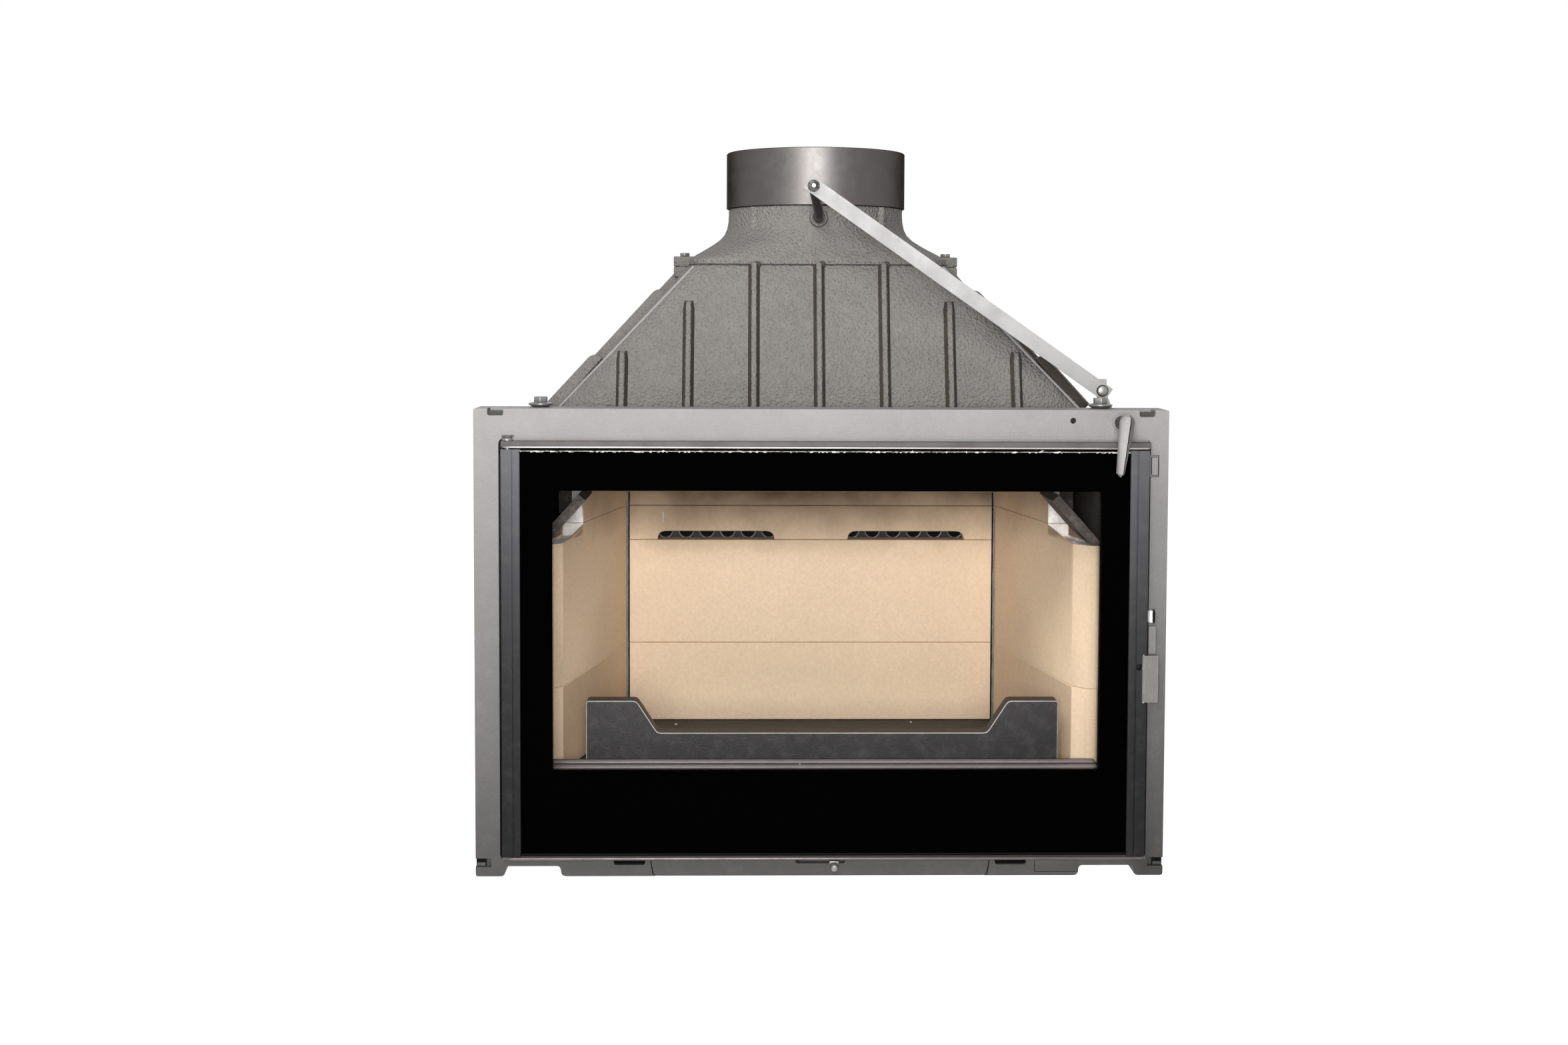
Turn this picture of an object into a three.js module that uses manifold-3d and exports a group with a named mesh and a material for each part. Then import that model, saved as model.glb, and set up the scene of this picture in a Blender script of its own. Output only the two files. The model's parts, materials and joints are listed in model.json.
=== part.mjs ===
// Cast-iron fireplace insert with a glazed door, brick-lined firebox, ribbed smoke hood and flue damper.
// Millimetres, +Z up. The front faces -Y: y = 0 is the front plane of the cast frame and y grows backwards.
// The whole model is then moved so that the origin lies at the bottom centre of its box.

import * as THREE from 'three';
import { mergeVertices } from 'three/addons/utils/BufferGeometryUtils.js';
import Module from 'manifold-3d';

const wasm = await Module();
wasm.setup();

// ---------------------------------------------------------------- driving dimensions

const seat = 0.3; // gap where one piece rests on or against another
const holeFit = 0.1; // radial clearance of a shaft or bolt in its hole

// Front frame
const frameWidth = 700;
const frameHeight = 476;
const faceWall = 7;
const rimWall = 6; // top and side returns of the face
const rimDepth = 42;
const leftMargin = 25; // face beside the door opening, hinge side
const rightMargin = 18; // face beside the door opening, latch side
const topMargin = 30;
const openingBottom = 17;
const openingRadius = 6;
const recessWall = 6;
const recessDepth = 28; // front plane to the back of the seal ring
const sealRingWall = 7;
const mouthInset = 12; // sides of the seal ring's mouth from the body's outer walls
const mouthBottom = 96;
const mouthLip = 21; // top of the mouth under the top of the opening
const lowerEdge = 10.5; // underside of the face between feet and tabs
const footWidth = 30;
const tabOuter = 264;
const tabInner = 170;
const seamLean = 2.5; // slant of the seams beside the centre panel
const fingerSlotStart = 8; // from the tab's inner edge
const fingerSlotWidth = 32;
const fingerSlotDepth = 5;
const liftNotchInset = 22; // lifting notches in the top edge, from its ends
const liftNotchWidth = 16;
const liftNotchDepth = 7;
const gaugeHolePitch = 47.9; // from the lever's axis
const gaugeHoleRadius = 3;
const footPocketWidth = 16;
const footPocketHeight = 9;

// Body castings
const bodyInset = 46; // body walls from the frame's sides
const bodyDepth = 445; // front plane to the tips of the rear fins
const castWall = 8;
const baseBottom = 16;
const shoulderDrop = 36; // top of the side and back castings under the frame's top
const shoulderInset = 22; // the top casting slopes in by this much
const shoulderRim = 6;
const ribWidth = 8;
const ribHeight = 7;
const rearFinHeight = 20;
const ribPitch = 69;
const sideRibPitch = 65;
const finBottom = 60;
const finTopGap = 8;
const rearFootWidth = 40;
const hearthSupportX = 144;

// Smoke hood and flue
const flueDepth = 225; // y of the flue axis
const hoodInset = 2; // foot of the hood from the edges of the flat top
const hoodHalfDepth = 155;
const lowerHoodHeight = 148; // joint between the two hood castings above the frame's top
const seamHalfWidth = 138;
const seamHalfDepth = 110;
const seamCorner = 26; // radius of the joint's outline
const hoodWall = 7;
const seamRim = 6; // upright rim above the joint
const neckRadius = 97.5;
const neckBlendRise = 50; // from the joint to the start of the straight neck
const neckHeight = 14;
const collarRadius = 100;
const collarWall = 5;
const collarHeight = 62;
const frontRibDrops = [0, 0, 41, 94]; // ends of the ribs below the joint, from the middle rib outwards
const sideRibDrops = [0, 31, 101];
const neckRibWidth = 5;
const neckRibHeight = 4.5;
const lugReach = 159; // outer edge of the bolt lugs
const lugHalfWidth = 14;
const lugHeight = 11;
const lugDrop = 26; // lug of the lower casting, from the joint down
const lugBoltX = 147;

// Hexagon bolts
const boltRadius = 4;
const boltHeadFlats = 13;
const boltHeadHeight = 5.5;
const washerRadius = 9;
const washerWall = 1.8;
const cornerBoltInset = 19; // from the body's outer walls
const cornerBoltY = 30;
const cornerLugHalfWidth = 9;

// Damper and its linkage
const leverInset = 49.1; // axis of the control handle from the frame's side
const leverDrop = 12.4; // and from its top
const shaftRadius = 5;
const crankX = -8; // crank pin from its shaft, at rest
const crankZ = 29.3;
const linkWidth = 15.5;
const linkWall = 3;
const linkY = 53.5; // front face of the link bar
const linkEnd = 8; // bar beyond each pin
const pinRadius = 3;
const crankWall = 3.5;
const crankWidth = 10;
const hubRadius = 8;
const handleFront = -38;
const handleWall = 10;
const handleTopRadius = 8;
const handleTipRadius = 4.6;
const handleLength = 48; // shaft axis to the centre of the tip
const handleLean = 5.8;
const frameBossRadius = 8.5;
const damperRadius = 74;
const damperWall = 3;
const neckBossRadius = 10.8;
const neckBossReach = 9;
const lugPadRadius = 7.5;
const bendRun = 27; // length over which the damper's rod bends to its pin
const linkNutFlats = 10;
const linkNutHeight = 5;

// Door
const doorFront = -8;
const doorBack = 14;
const hingeGap = 3;
const latchGap = 2.5;
const railBottomZ = 18.8;
const bottomRailHeight = 3.2;
const topRailHeight = 7;
const topRailGap = 2; // under the top of the opening
const railWeb = 4;
const doorTopGap = 1.5;
const doorBottomGap = 0.5;
const stileWidth = 19;
const grooveStart = 11;
const grooveWidth = 1.6;
const grooveDepth = 1.5;
const stileBlock = 12.8; // solid width outside the glass slot
const lipWall = 2.7; // lip in front of the glass
const glassWall = 4;
const tapeWall = 1.9;
const tapeWidth = 10;
const glassLedge = 2.5;
const glassLip = 1.7;
const barHeight = 20;
const hingeAxisInset = 6.5; // hinge axis from the door's outer edge
const hingeAxisY = -2;
const hingePinRadius = 3;
const hingePinGrip = 22;
const domeRadius = 5.8;
const domeHeight = 3.4;
const ropeWidth = 9;
const ropeInset = 5;

// Latch
const latchAxisInset = 3; // from the door's latch edge
const latchAxisY = -5;
const latchBarrelRadius = 2;
const latchPinRadius = 1;
const latchBottom = 180;
const latchTop = 227.5;
const latchReach = 11; // lever past the door's edge
const latchWall = 4;
const toolHoleX = 7.8; // from the door's latch edge
const toolHoleZ = 216;
const toolHoleRadius = 3.3;
const keeperHeight = 28.5;
const keeperWidth = 7.6;
const keeperWall = 3.7;
const strikeRadius = 4.2;
const strikeBottom = 259.7;
const strikeTop = 273.7;
const stopPadDrop = 17.7; // under the top of the opening
const stopPadHeight = 17.8;
const stopPadWidth = 6.2;

// Air control
const knobX = 14;
const knobRadius = 4;
const knobZ = 10.5;
const slideWidth = 70;
const slideWall = 2.5;
const slideTravelLeft = 33;
const slideTravelRight = 5;
const slideTab = 10;
const panelWall = 6;

// Firebox
const hearthTop = 83;
const hearthWall = 8;
const hearthFront = 62;
const backWallSpace = 92; // face of the back bricks from the back casting
const backBrickWall = 25;
const backBrickReach = 25; // back bricks past the back corners of the side bricks
const sideBrickWall = 22;
const sideBrickSpace = 26; // inner face of the side bricks at their front bevel, from the body's walls
const sideSplay = 50;
const sideFrontY = 69;
const sideBevel = 15;
const jointLow = 177;
const slottedBrickHeight = 41;
const backBrickGap = 10; // back wall below the top of the back casting
const notchHeight = 13;
const notchBack = 155;
const slotInner = 44;
const slotOuter = 183;
const slotHeight = 10;
const airHoleRadius = 8.2;
const airHolePitch = 25;
const airHoleFirst = 50;
const airHoleCount = 6; // behind each slot
const airHoleRise = 8; // above the slots' floor
const manifoldInset = 45; // from the ends of the back bricks
const manifoldDepth = 25;
const manifoldHead = 16; // duct above the holes' middle
const sheetWall = 2;
const baffleDrop = 103.7; // from the body's top plate to the baffle's underside at the back bricks
const baffleSeatHeight = 16; // least height of the top side bricks
const baffleFrontY = 140;
const baffleRise = 0.37; // rise of the baffle per length
const baffleWall = 20;
const baffleInset = 34; // from the body's walls
const deflectorWall = 10;
const deflectorReach = 44;
const deflectorRise = 49;
const deflectorFront = 68;
const deflectorLength = 82;
const fenderGap = 21; // between the fender's ends and the side bricks
const fenderShift = 4.5; // the loose fender stands a little towards the latch
const fenderTop = 164;
const fenderLow = 130;
const fenderLowHalfWidth = 174;
const fenderSlant = 22;
const fenderFront = 70;
const fenderDepth = 21;
const fenderWall = 6;
const sillTop = 103;
const sillFront = 20;
const sillBack = 68;
const sillWall = 6;
const sillGrooves = 4;
const sillGrooveWidth = 3.5;
const sillGrooveDepth = 1.8;
const grateHalfWidth = 110;
const grateFront = 130;
const grateDepth = 150;
const grateWall = 4.7;
const grateLedge = 6;
const grateSlots = 9;
const grateBar = 12;
const ashPanHeight = 41;
const ashPanWall = 1.5;

// ---------------------------------------------------------------- places that follow from them

const openingLeft = -frameWidth / 2 + leftMargin;
const openingRight = frameWidth / 2 - rightMargin;
const openingTop = frameHeight - topMargin;
const mouthTop = openingTop - mouthLip;
const liftNotchX = frameWidth / 2 - liftNotchInset;
const leverX = frameWidth / 2 - leverInset;
const leverZ = frameHeight - leverDrop;
const gaugeHoleX = leverX - gaugeHolePitch;
const stopPadTop = openingTop - stopPadDrop;
const stopPadBottom = stopPadTop - stopPadHeight;

const bodyHalfWidth = frameWidth / 2 - bodyInset;
const mouthHalfWidth = bodyHalfWidth - mouthInset;
const shoulderHeight = frameHeight - shoulderDrop;
const cornerBoltX = bodyHalfWidth - cornerBoltInset;
const sealFaceY = recessDepth - sealRingWall;
const bodyFront = recessDepth + seat;
const backOuterY = bodyDepth - rearFinHeight;
const backInnerY = backOuterY - castWall;
const wallInnerX = bodyHalfWidth - castWall;
const baseTop = baseBottom + castWall;
const topPlateZ = frameHeight - rimWall - seat;
const topPlateUnder = topPlateZ - castWall;
const flatHalfWidth = bodyHalfWidth - shoulderInset;
const hoodBottom = topPlateZ + seat;
const hoodHalfWidth = flatHalfWidth - hoodInset;
const seamZ = frameHeight + lowerHoodHeight;
const neckBlendZ = seamZ + neckBlendRise;
const neckTopZ = neckBlendZ + neckHeight;
const flueTopZ = neckTopZ + collarHeight;
const damperZ = neckBlendZ; // axis of the damper, on the middle plane
const neckInner = neckRadius - hoodWall;

const doorLeft = openingLeft + hingeGap;
const doorRight = openingRight - latchGap;
const railTopZ = openingTop - topRailGap;
const doorTop = railTopZ - topRailHeight - doorTopGap;
const bottomRailTop = railBottomZ + bottomRailHeight;
const doorBottom = bottomRailTop + doorBottomGap;
const hingeX = doorLeft + hingeAxisInset;
const glassFront = doorFront + lipWall + seat;
const glassBack = glassFront + glassWall;
const slotBack = glassBack + tapeWall + 2 * seat; // back of the slot that holds glass and tape
const leftGlassEdge = doorLeft + stileBlock + seat;
const rightGlassEdge = doorRight - stileBlock - seat;
const glassBottom = doorBottom + glassLedge + seat;
const glassTop = doorTop - glassLip - seat;
const latchX = doorRight - latchAxisInset;

const panelTop = openingBottom - seat;
const linkBack = linkY + linkWall;
const hearthUnder = hearthTop - hearthWall;

const brickBottom = hearthTop + seat;
const baffleBack = topPlateUnder - baffleDrop; // underside of the baffle at the back bricks
const jointHigh = baffleBack - baffleSeatHeight;
const brickFaceY = backInnerY - backWallSpace;
const jointMiddle = jointHigh - slottedBrickHeight;
const notchFloor = jointHigh - notchHeight;
const backBrickTop = shoulderHeight - backBrickGap;
const airHoleZ = jointMiddle + airHoleRise;
const manifoldTop = airHoleZ + manifoldHead;
const sideFrontX = wallInnerX - sideBrickSpace;
const sideBackX = sideFrontX - sideSplay;
const backBrickHalfWidth = sideBackX + backBrickReach;
const manifoldHalfWidth = backBrickHalfWidth - manifoldInset;
const baffleHalfWidth = wallInnerX - baffleInset;
const fenderHalfWidth = sideFrontX - fenderGap;
const sideSlope = (sideFrontX - sideBackX) / (brickFaceY - sideFrontY - sideBevel);
const sideOffset = sideBrickWall * Math.hypot(1, sideSlope);

// ---------------------------------------------------------------- solids and outlines

function toSolid(geometry) {
  const bare = geometry.clone();
  bare.deleteAttribute('normal');
  bare.deleteAttribute('uv');
  const merged = mergeVertices(bare, 1e-4);
  const corners = merged.index.array;
  const triangles = [];
  for (let i = 0; i < corners.length; i += 3) {
    const [a, b, c] = [corners[i], corners[i + 1], corners[i + 2]];
    if (a !== b && b !== c && c !== a) triangles.push(a, b, c);
  }
  return new wasm.Manifold(new wasm.Mesh({
    numProp: 3,
    vertProperties: new Float32Array(merged.attributes.position.array),
    triVerts: new Uint32Array(triangles),
  }));
}

function toGeometry(solid) {
  const { vertProperties, triVerts } = solid.getMesh();
  const indexed = new THREE.BufferGeometry();
  indexed.setAttribute('position', new THREE.BufferAttribute(vertProperties, 3));
  indexed.setIndex(new THREE.BufferAttribute(triVerts, 1));
  const geometry = indexed.toNonIndexed();
  geometry.computeVertexNormals();
  return geometry;
}

function join(...solids) {
  return solids.flat().reduce((whole, next) => whole.add(next));
}

function cut(solid, ...tools) {
  return tools.flat().reduce((left, tool) => left.subtract(tool), solid);
}

function block([x0, x1], [y0, y1], [z0, z1]) {
  const geometry = new THREE.BoxGeometry(x1 - x0, y1 - y0, z1 - z0);
  geometry.translate((x0 + x1) / 2, (y0 + y1) / 2, (z0 + z1) / 2);
  return toSolid(geometry);
}

// A round bar along one axis. Its centre is given in the other two, in X, Y, Z order.
function rod(axis, [a, b], radius, [low, high], sides = 32) {
  const geometry = new THREE.CylinderGeometry(radius, radius, high - low, sides);
  const middle = (low + high) / 2;
  if (axis === 'x') geometry.rotateZ(Math.PI / 2).translate(middle, a, b);
  if (axis === 'y') geometry.translate(a, middle, b);
  if (axis === 'z') geometry.rotateX(Math.PI / 2).translate(a, b, middle);
  return toSolid(geometry);
}

function hexagon(axis, centre, flats, span) {
  return rod(axis, centre, flats / Math.sqrt(3), span, 6);
}

// An outline pushed along one axis. The outline lies in the other two, in X, Y, Z order.
function prism(axis, shape, [low, high], curveSegments = 5) {
  const geometry = new THREE.ExtrudeGeometry(shape, { depth: high - low, bevelEnabled: false, curveSegments });
  const x = new THREE.Vector3(1, 0, 0);
  const y = new THREE.Vector3(0, 1, 0);
  const z = new THREE.Vector3(0, 0, 1);
  const turn = new THREE.Matrix4();
  if (axis === 'x') geometry.applyMatrix4(turn.makeBasis(y, z, x)).translate(low, 0, 0);
  if (axis === 'y') geometry.applyMatrix4(turn.makeBasis(x, z, y.negate())).translate(0, high, 0);
  if (axis === 'z') geometry.translate(0, 0, low);
  return toSolid(geometry);
}

// A closed outline through corners [a, b, radius]; a corner with a radius is rounded.
function outline(corners) {
  const shape = new THREE.Shape();
  corners.forEach(([a, b, radius = 0], i) => {
    const here = new THREE.Vector2(a, b);
    const before = new THREE.Vector2(...corners.at(i - 1).slice(0, 2));
    const after = new THREE.Vector2(...corners[(i + 1) % corners.length].slice(0, 2));
    const start = here.clone().add(before.sub(here).setLength(radius));
    const end = here.clone().add(after.sub(here).setLength(radius));
    if (i === 0) shape.moveTo(start.x, start.y);
    else shape.lineTo(start.x, start.y);
    if (radius > 0) shape.quadraticCurveTo(a, b, end.x, end.y);
  });
  shape.closePath();
  return shape;
}

function rectangle([a0, a1], [b0, b1], radius = 0) {
  return outline([[a0, b0, radius], [a1, b0, radius], [a1, b1, radius], [a0, b1, radius]]);
}

function rectangularRing(outer, inner) {
  const shape = rectangle(...outer);
  shape.holes.push(rectangle(...inner));
  return shape;
}

// Skins a row of convex rings that all have the same number of points.
function loft(rings) {
  const count = rings[0].length;
  const last = (rings.length - 1) * count;
  const triangles = [];
  for (let ring = 0; ring < last; ring += count) {
    for (let i = 0; i < count; i++) {
      const next = (i + 1) % count;
      triangles.push([ring + i, ring + next, ring + count + next]);
      triangles.push([ring + i, ring + count + next, ring + count + i]);
    }
  }
  for (let i = 1; i + 1 < count; i++) {
    triangles.push([0, i + 1, i]);
    triangles.push([last, last + i, last + i + 1]);
  }
  const points = rings.flat().map((point) => new THREE.Vector3(...point));
  const volume = triangles.reduce((sum, [a, b, c]) => {
    return sum + points[a].dot(points[b].clone().cross(points[c]));
  }, 0);
  if (volume < 0) triangles.forEach((triangle) => triangle.reverse());
  const geometry = new THREE.BufferGeometry().setFromPoints(points);
  geometry.setIndex(triangles.flat());
  return toSolid(geometry);
}

// A level ring around the flue axis: a rectangle whose corners are rounded with a radius.
function flueRing(z, halfWidth, halfDepth, radius, steps = 8) {
  const points = [];
  [[1, 1], [-1, 1], [-1, -1], [1, -1]].forEach(([sideX, sideY], quarter) => {
    for (let step = 0; step <= steps; step++) {
      const angle = (quarter + step / steps) * Math.PI / 2;
      const x = sideX * (halfWidth - radius) + radius * Math.cos(angle);
      const y = sideY * (halfDepth - radius) + radius * Math.sin(angle);
      points.push([x, flueDepth + y, z]);
    }
  });
  return points;
}

// A rib with a round nose. at(z) gives the point [x, y] of the wall that it stands on,
// out is the level direction away from the wall, and each stop is [z, height].
function rib(at, [outX, outY], stops, width = ribWidth) {
  const sink = 2;
  const rings = stops.map(([z, height]) => {
    const [x, y] = at(z);
    const shoulder = Math.max(height - width / 2, 0);
    const section = [
      [-width / 2, -sink],
      [-width / 2, shoulder],
      [-width / 4, shoulder + (height - shoulder) * 0.8],
      [width / 4, shoulder + (height - shoulder) * 0.8],
      [width / 2, shoulder],
      [width / 2, -sink],
    ];
    return section.map(([across, away]) => [
      x + outX * away + outY * across,
      y + outY * away - outX * across,
      z,
    ]);
  });
  return loft(rings);
}

// ---------------------------------------------------------------- materials

function finish(colour, roughness, metalness) {
  return new THREE.MeshStandardMaterial({ color: colour, roughness, metalness });
}

const frameIron = finish(0xb9b6b4, 0.55, 0.3);
const bodyIron = finish(0x8c8a86, 0.6, 0.4);
const hoodIron = finish(0x7f7c78, 0.5, 0.45);
const collarSteel = finish(0x5d5a59, 0.35, 0.6);
const doorSteel = finish(0x5f5f61, 0.45, 0.5);
const railSteel = finish(0x8d8784, 0.35, 0.6);
const zinc = finish(0xdfdcdc, 0.4, 0.7);
const leverIron = finish(0xbcb8b6, 0.5, 0.5);
const chrome = finish(0xe6e6e6, 0.12, 1);
const fireclay = finish(0xeed4b0, 0.9, 0);
const graphite = finish(0x3a393b, 0.5, 0.4);
const rope = finish(0x8f8c86, 0.95, 0);
const ceramicGlass = new THREE.MeshStandardMaterial({
  color: 0x0a0a0a,
  roughness: 0.08,
  metalness: 0,
  transparent: true,
  opacity: 0.5,
});

function piece(group, name, solid, material) {
  const mesh = new THREE.Mesh(toGeometry(solid), material);
  mesh.name = name;
  group.add(mesh);
}

// ---------------------------------------------------------------- front frame

function frameFace() {
  const half = frameWidth / 2;
  const innerFoot = half - footWidth;
  const corners = [
    [-half, 0, 3], [-innerFoot, 0, 5], [-innerFoot, lowerEdge, 2], [-tabOuter, lowerEdge, 4],
    [-tabOuter + 1, 0, 5], [tabOuter - 1, 0, 5], [tabOuter, lowerEdge, 4], [innerFoot, lowerEdge, 2],
    [innerFoot, 0, 5], [half, 0, 3], [half, frameHeight, 2], [-half, frameHeight, 2],
  ];
  return prism('y', outline(corners), [0, faceWall]);
}

// The returns behind the face: over the top, down both sides and under the feet.
function frameRim() {
  const half = frameWidth / 2;
  const inner = half - rimWall;
  const innerFoot = half - footWidth;
  const corners = [
    [-half, 0, 3], [-innerFoot, 0, 5], [-innerFoot, lowerEdge, 2], [-inner, lowerEdge],
    [-inner, frameHeight - rimWall], [inner, frameHeight - rimWall], [inner, lowerEdge],
    [innerFoot, lowerEdge, 2], [innerFoot, 0, 5], [half, 0, 3], [half, frameHeight, 2], [-half, frameHeight, 2],
  ];
  return prism('y', outline(corners), [0.5, rimDepth]);
}

function centrePanelShape(clearance) {
  const bottomHalf = tabInner + clearance;
  const topHalf = bottomHalf + seamLean;
  const chamfer = 3;
  return outline([
    [-bottomHalf + chamfer, -clearance], [bottomHalf - chamfer, -clearance], [bottomHalf, chamfer],
    [topHalf, panelTop + clearance], [-topHalf, panelTop + clearance], [-bottomHalf, chamfer],
  ]);
}

function frontFrame() {
  const half = frameWidth / 2;
  const recessX = [openingLeft - recessWall, openingRight + recessWall];
  const recessZ = [openingBottom - recessWall, openingTop + recessWall];
  const openingX = [openingLeft, openingRight];
  const openingZ = [openingBottom, openingTop];
  const outerRadius = openingRadius + recessWall;
  const door = rectangle(openingX, openingZ, openingRadius);
  const recess = rectangularRing([recessX, recessZ, outerRadius], [openingX, openingZ, openingRadius]);
  const sealRing = rectangle(recessX, recessZ, outerRadius);
  sealRing.holes.push(outline([
    [-mouthHalfWidth, mouthBottom], [mouthHalfWidth, mouthBottom],
    [mouthHalfWidth, mouthTop, 12], [-mouthHalfWidth, mouthTop, 12],
  ]));

  const boss = rod('y', [leverX, leverZ], frameBossRadius, [-2, recessDepth]);

  const whole = join(
    cut(frameFace(), prism('y', door, [-1, faceWall + 1])),
    frameRim(),
    prism('y', recess, [0.5, recessDepth]),
    prism('y', sealRing, [sealFaceY, recessDepth]),
    boss,
  );

  const panelSeat = prism('y', centrePanelShape(seat), [-1, panelWall + seat]);
  const slideLow = knobX - slideWidth / 2 - slideTravelLeft - 3;
  const slideHigh = knobX + slideWidth / 2 + slideTravelRight + 3;
  const slideFloor = openingBottom - slideWall - 2 * seat - 1;
  const slideChannel = block([slideLow, slideHigh], [-1, recessDepth + 1], [slideFloor, openingBottom + 1]);
  const airPorts = airPortsAt([recessDepth - 16, recessDepth - 9], [0, openingBottom]);

  const fingerSlots = [-1, 1].map((side) => {
    const start = tabInner + fingerSlotStart;
    const span = [side * start, side * (start + fingerSlotWidth)].sort((a, b) => a - b);
    return prism('y', rectangle(span, [openingBottom - 5.5, openingBottom + 3], 3), [-1, fingerSlotDepth]);
  });
  const liftNotches = [-1, 1].map((side) => {
    const span = [side * liftNotchX - liftNotchWidth / 2, side * liftNotchX + liftNotchWidth / 2];
    const notch = rectangle(span, [frameHeight - liftNotchDepth, frameHeight + 5], 2.5);
    return prism('y', notch, [-1, rimDepth / 2]);
  });
  const footPockets = [-1, 1].map((side) => {
    const span = [side * (half - footPocketWidth), side * (half + 1)].sort((a, b) => a - b);
    return block(span, [-1, faceWall - 1], [lowerEdge - 1, lowerEdge - 1 + footPocketHeight]);
  });
  const boltHoles = [-1, 1].map((side) => {
    const centre = [side * cornerBoltX, cornerBoltY];
    return rod('z', centre, boltRadius + holeFit, [frameHeight - rimWall - 1, frameHeight + 1], 20);
  });
  const strikePocket = block(
    [openingRight - 1, openingRight + strikeRadius + 2],
    [-1, strikeRadius - 1],
    [strikeBottom - seat, strikeTop + seat],
  );
  const stopPocket = block(
    [openingRight - 1, openingRight + 1 + stopPadWidth + 1.3],
    [-1, 4 + seat],
    [stopPadBottom - 2.3, stopPadTop + 2.3],
  );
  return cut(
    whole,
    panelSeat,
    slideChannel,
    airPorts,
    fingerSlots,
    liftNotches,
    footPockets,
    boltHoles,
    strikePocket,
    stopPocket,
    rod('y', [leverX, leverZ], shaftRadius + holeFit, [-5, recessDepth + 1]),
    rod('y', [gaugeHoleX, leverZ + 1.5], gaugeHoleRadius, [-1, faceWall + 1], 20),
    rod('z', [hingeX, hingeAxisY], domeRadius + 2 * seat, [openingTop - 1, openingTop + domeHeight], 28),
  );
}

// Two air ports, in the floor of the slide channel and in the slide, that meet when the slide is at rest.
function airPortsAt(spanY, spanZ) {
  return [-1, 1].map((side) => {
    const middle = knobX + side * slideWidth / 4;
    return block([middle - 7, middle + 7], spanY, spanZ);
  });
}

function centrePanel() {
  const slotLeft = knobX - slideTravelLeft - slideTab / 2 - 1;
  const slotRight = knobX + slideTravelRight + slideTab / 2 + 1;
  const slotFloor = openingBottom - slideWall - 2 * seat - 1;
  const notch = rectangle([slotLeft, slotRight], [slotFloor, panelTop + 5], 2);
  return cut(prism('y', centrePanelShape(0), [0, panelWall]), prism('y', notch, [-1, panelWall + 1]));
}

function airSlide() {
  const low = openingBottom - slideWall - seat - 1;
  const high = low + slideWall;
  const half = slideWidth / 2;
  const plate = block([knobX - half, knobX + half], [panelWall + 1, recessDepth - 2], [low, high]);
  const tab = block([knobX - slideTab / 2, knobX + slideTab / 2], [-1 - knobRadius, panelWall + 2], [low, high]);
  const ball = toSolid(new THREE.SphereGeometry(knobRadius, 16, 10).translate(knobX, -1 - knobRadius, knobZ));
  return cut(join(plate, tab, ball), airPortsAt([recessDepth - 16, recessDepth - 9], [low - 1, high + 1]));
}

// ---------------------------------------------------------------- body castings

function baseCasting() {
  const floor = block([-bodyHalfWidth, bodyHalfWidth], [bodyFront, backOuterY], [baseBottom, baseTop]);
  const feet = [-1, 1].map((side) => {
    const centre = side * (bodyHalfWidth - 2 * rearFootWidth);
    const span = [centre - rearFootWidth / 2, centre + rearFootWidth / 2];
    return block(span, [backInnerY - rearFootWidth, backInnerY], [0, baseTop]);
  });
  const supports = [-1, 1].map((side) => {
    const centre = side * hearthSupportX;
    return block([centre - 4, centre + 4], [hearthFront, brickFaceY], [baseBottom, hearthUnder - seat]);
  });
  const airSlot = block(
    [-manifoldHalfWidth * 0.8, manifoldHalfWidth * 0.8],
    [manifoldFront() + 4, manifoldFront() + manifoldDepth - 4],
    [0, baseTop + 1],
  );
  return cut(join(floor, feet, supports), airSlot);
}

function sideCasting(side) {
  const wall = [side * wallInnerX, side * bodyHalfWidth].sort((a, b) => a - b);
  const plate = block(wall, [bodyFront, backInnerY - seat], [baseTop + seat, shoulderHeight]);
  const top = shoulderHeight - finTopGap;
  const ribs = [-2, -1, 0, 1, 2].map((step) => {
    const y = flueDepth + step * sideRibPitch;
    const stops = [[finBottom, 0], [finBottom + ribHeight, ribHeight], [top - ribHeight, ribHeight], [top, 0]];
    return rib(() => [side * bodyHalfWidth, y], [side, 0], stops);
  });
  return join(plate, ribs);
}

function backCasting() {
  const side = wallInnerX - seat;
  const flat = side - (shoulderInset - castWall / 2);
  const corners = [
    [-bodyHalfWidth, baseTop + seat], [bodyHalfWidth, baseTop + seat], [bodyHalfWidth, shoulderHeight],
    [side, shoulderHeight], [side, shoulderHeight + shoulderRim / 2], [flat, topPlateUnder - seat],
    [-flat, topPlateUnder - seat], [-side, shoulderHeight + shoulderRim / 2], [-side, shoulderHeight],
    [-bodyHalfWidth, shoulderHeight],
  ];
  const plate = prism('y', outline(corners), [backInnerY, backOuterY]);
  const top = shoulderHeight - finTopGap;
  const fins = [-3, -2, -1, 0, 1, 2, 3].map((step) => {
    const stops = [
      [finBottom, 0],
      [finBottom + rearFinHeight, rearFinHeight],
      [top - rearFinHeight, rearFinHeight],
      [top, 0],
    ];
    return rib(() => [step * ribPitch, backOuterY], [0, 1], stops);
  });
  return join(plate, fins);
}

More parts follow.
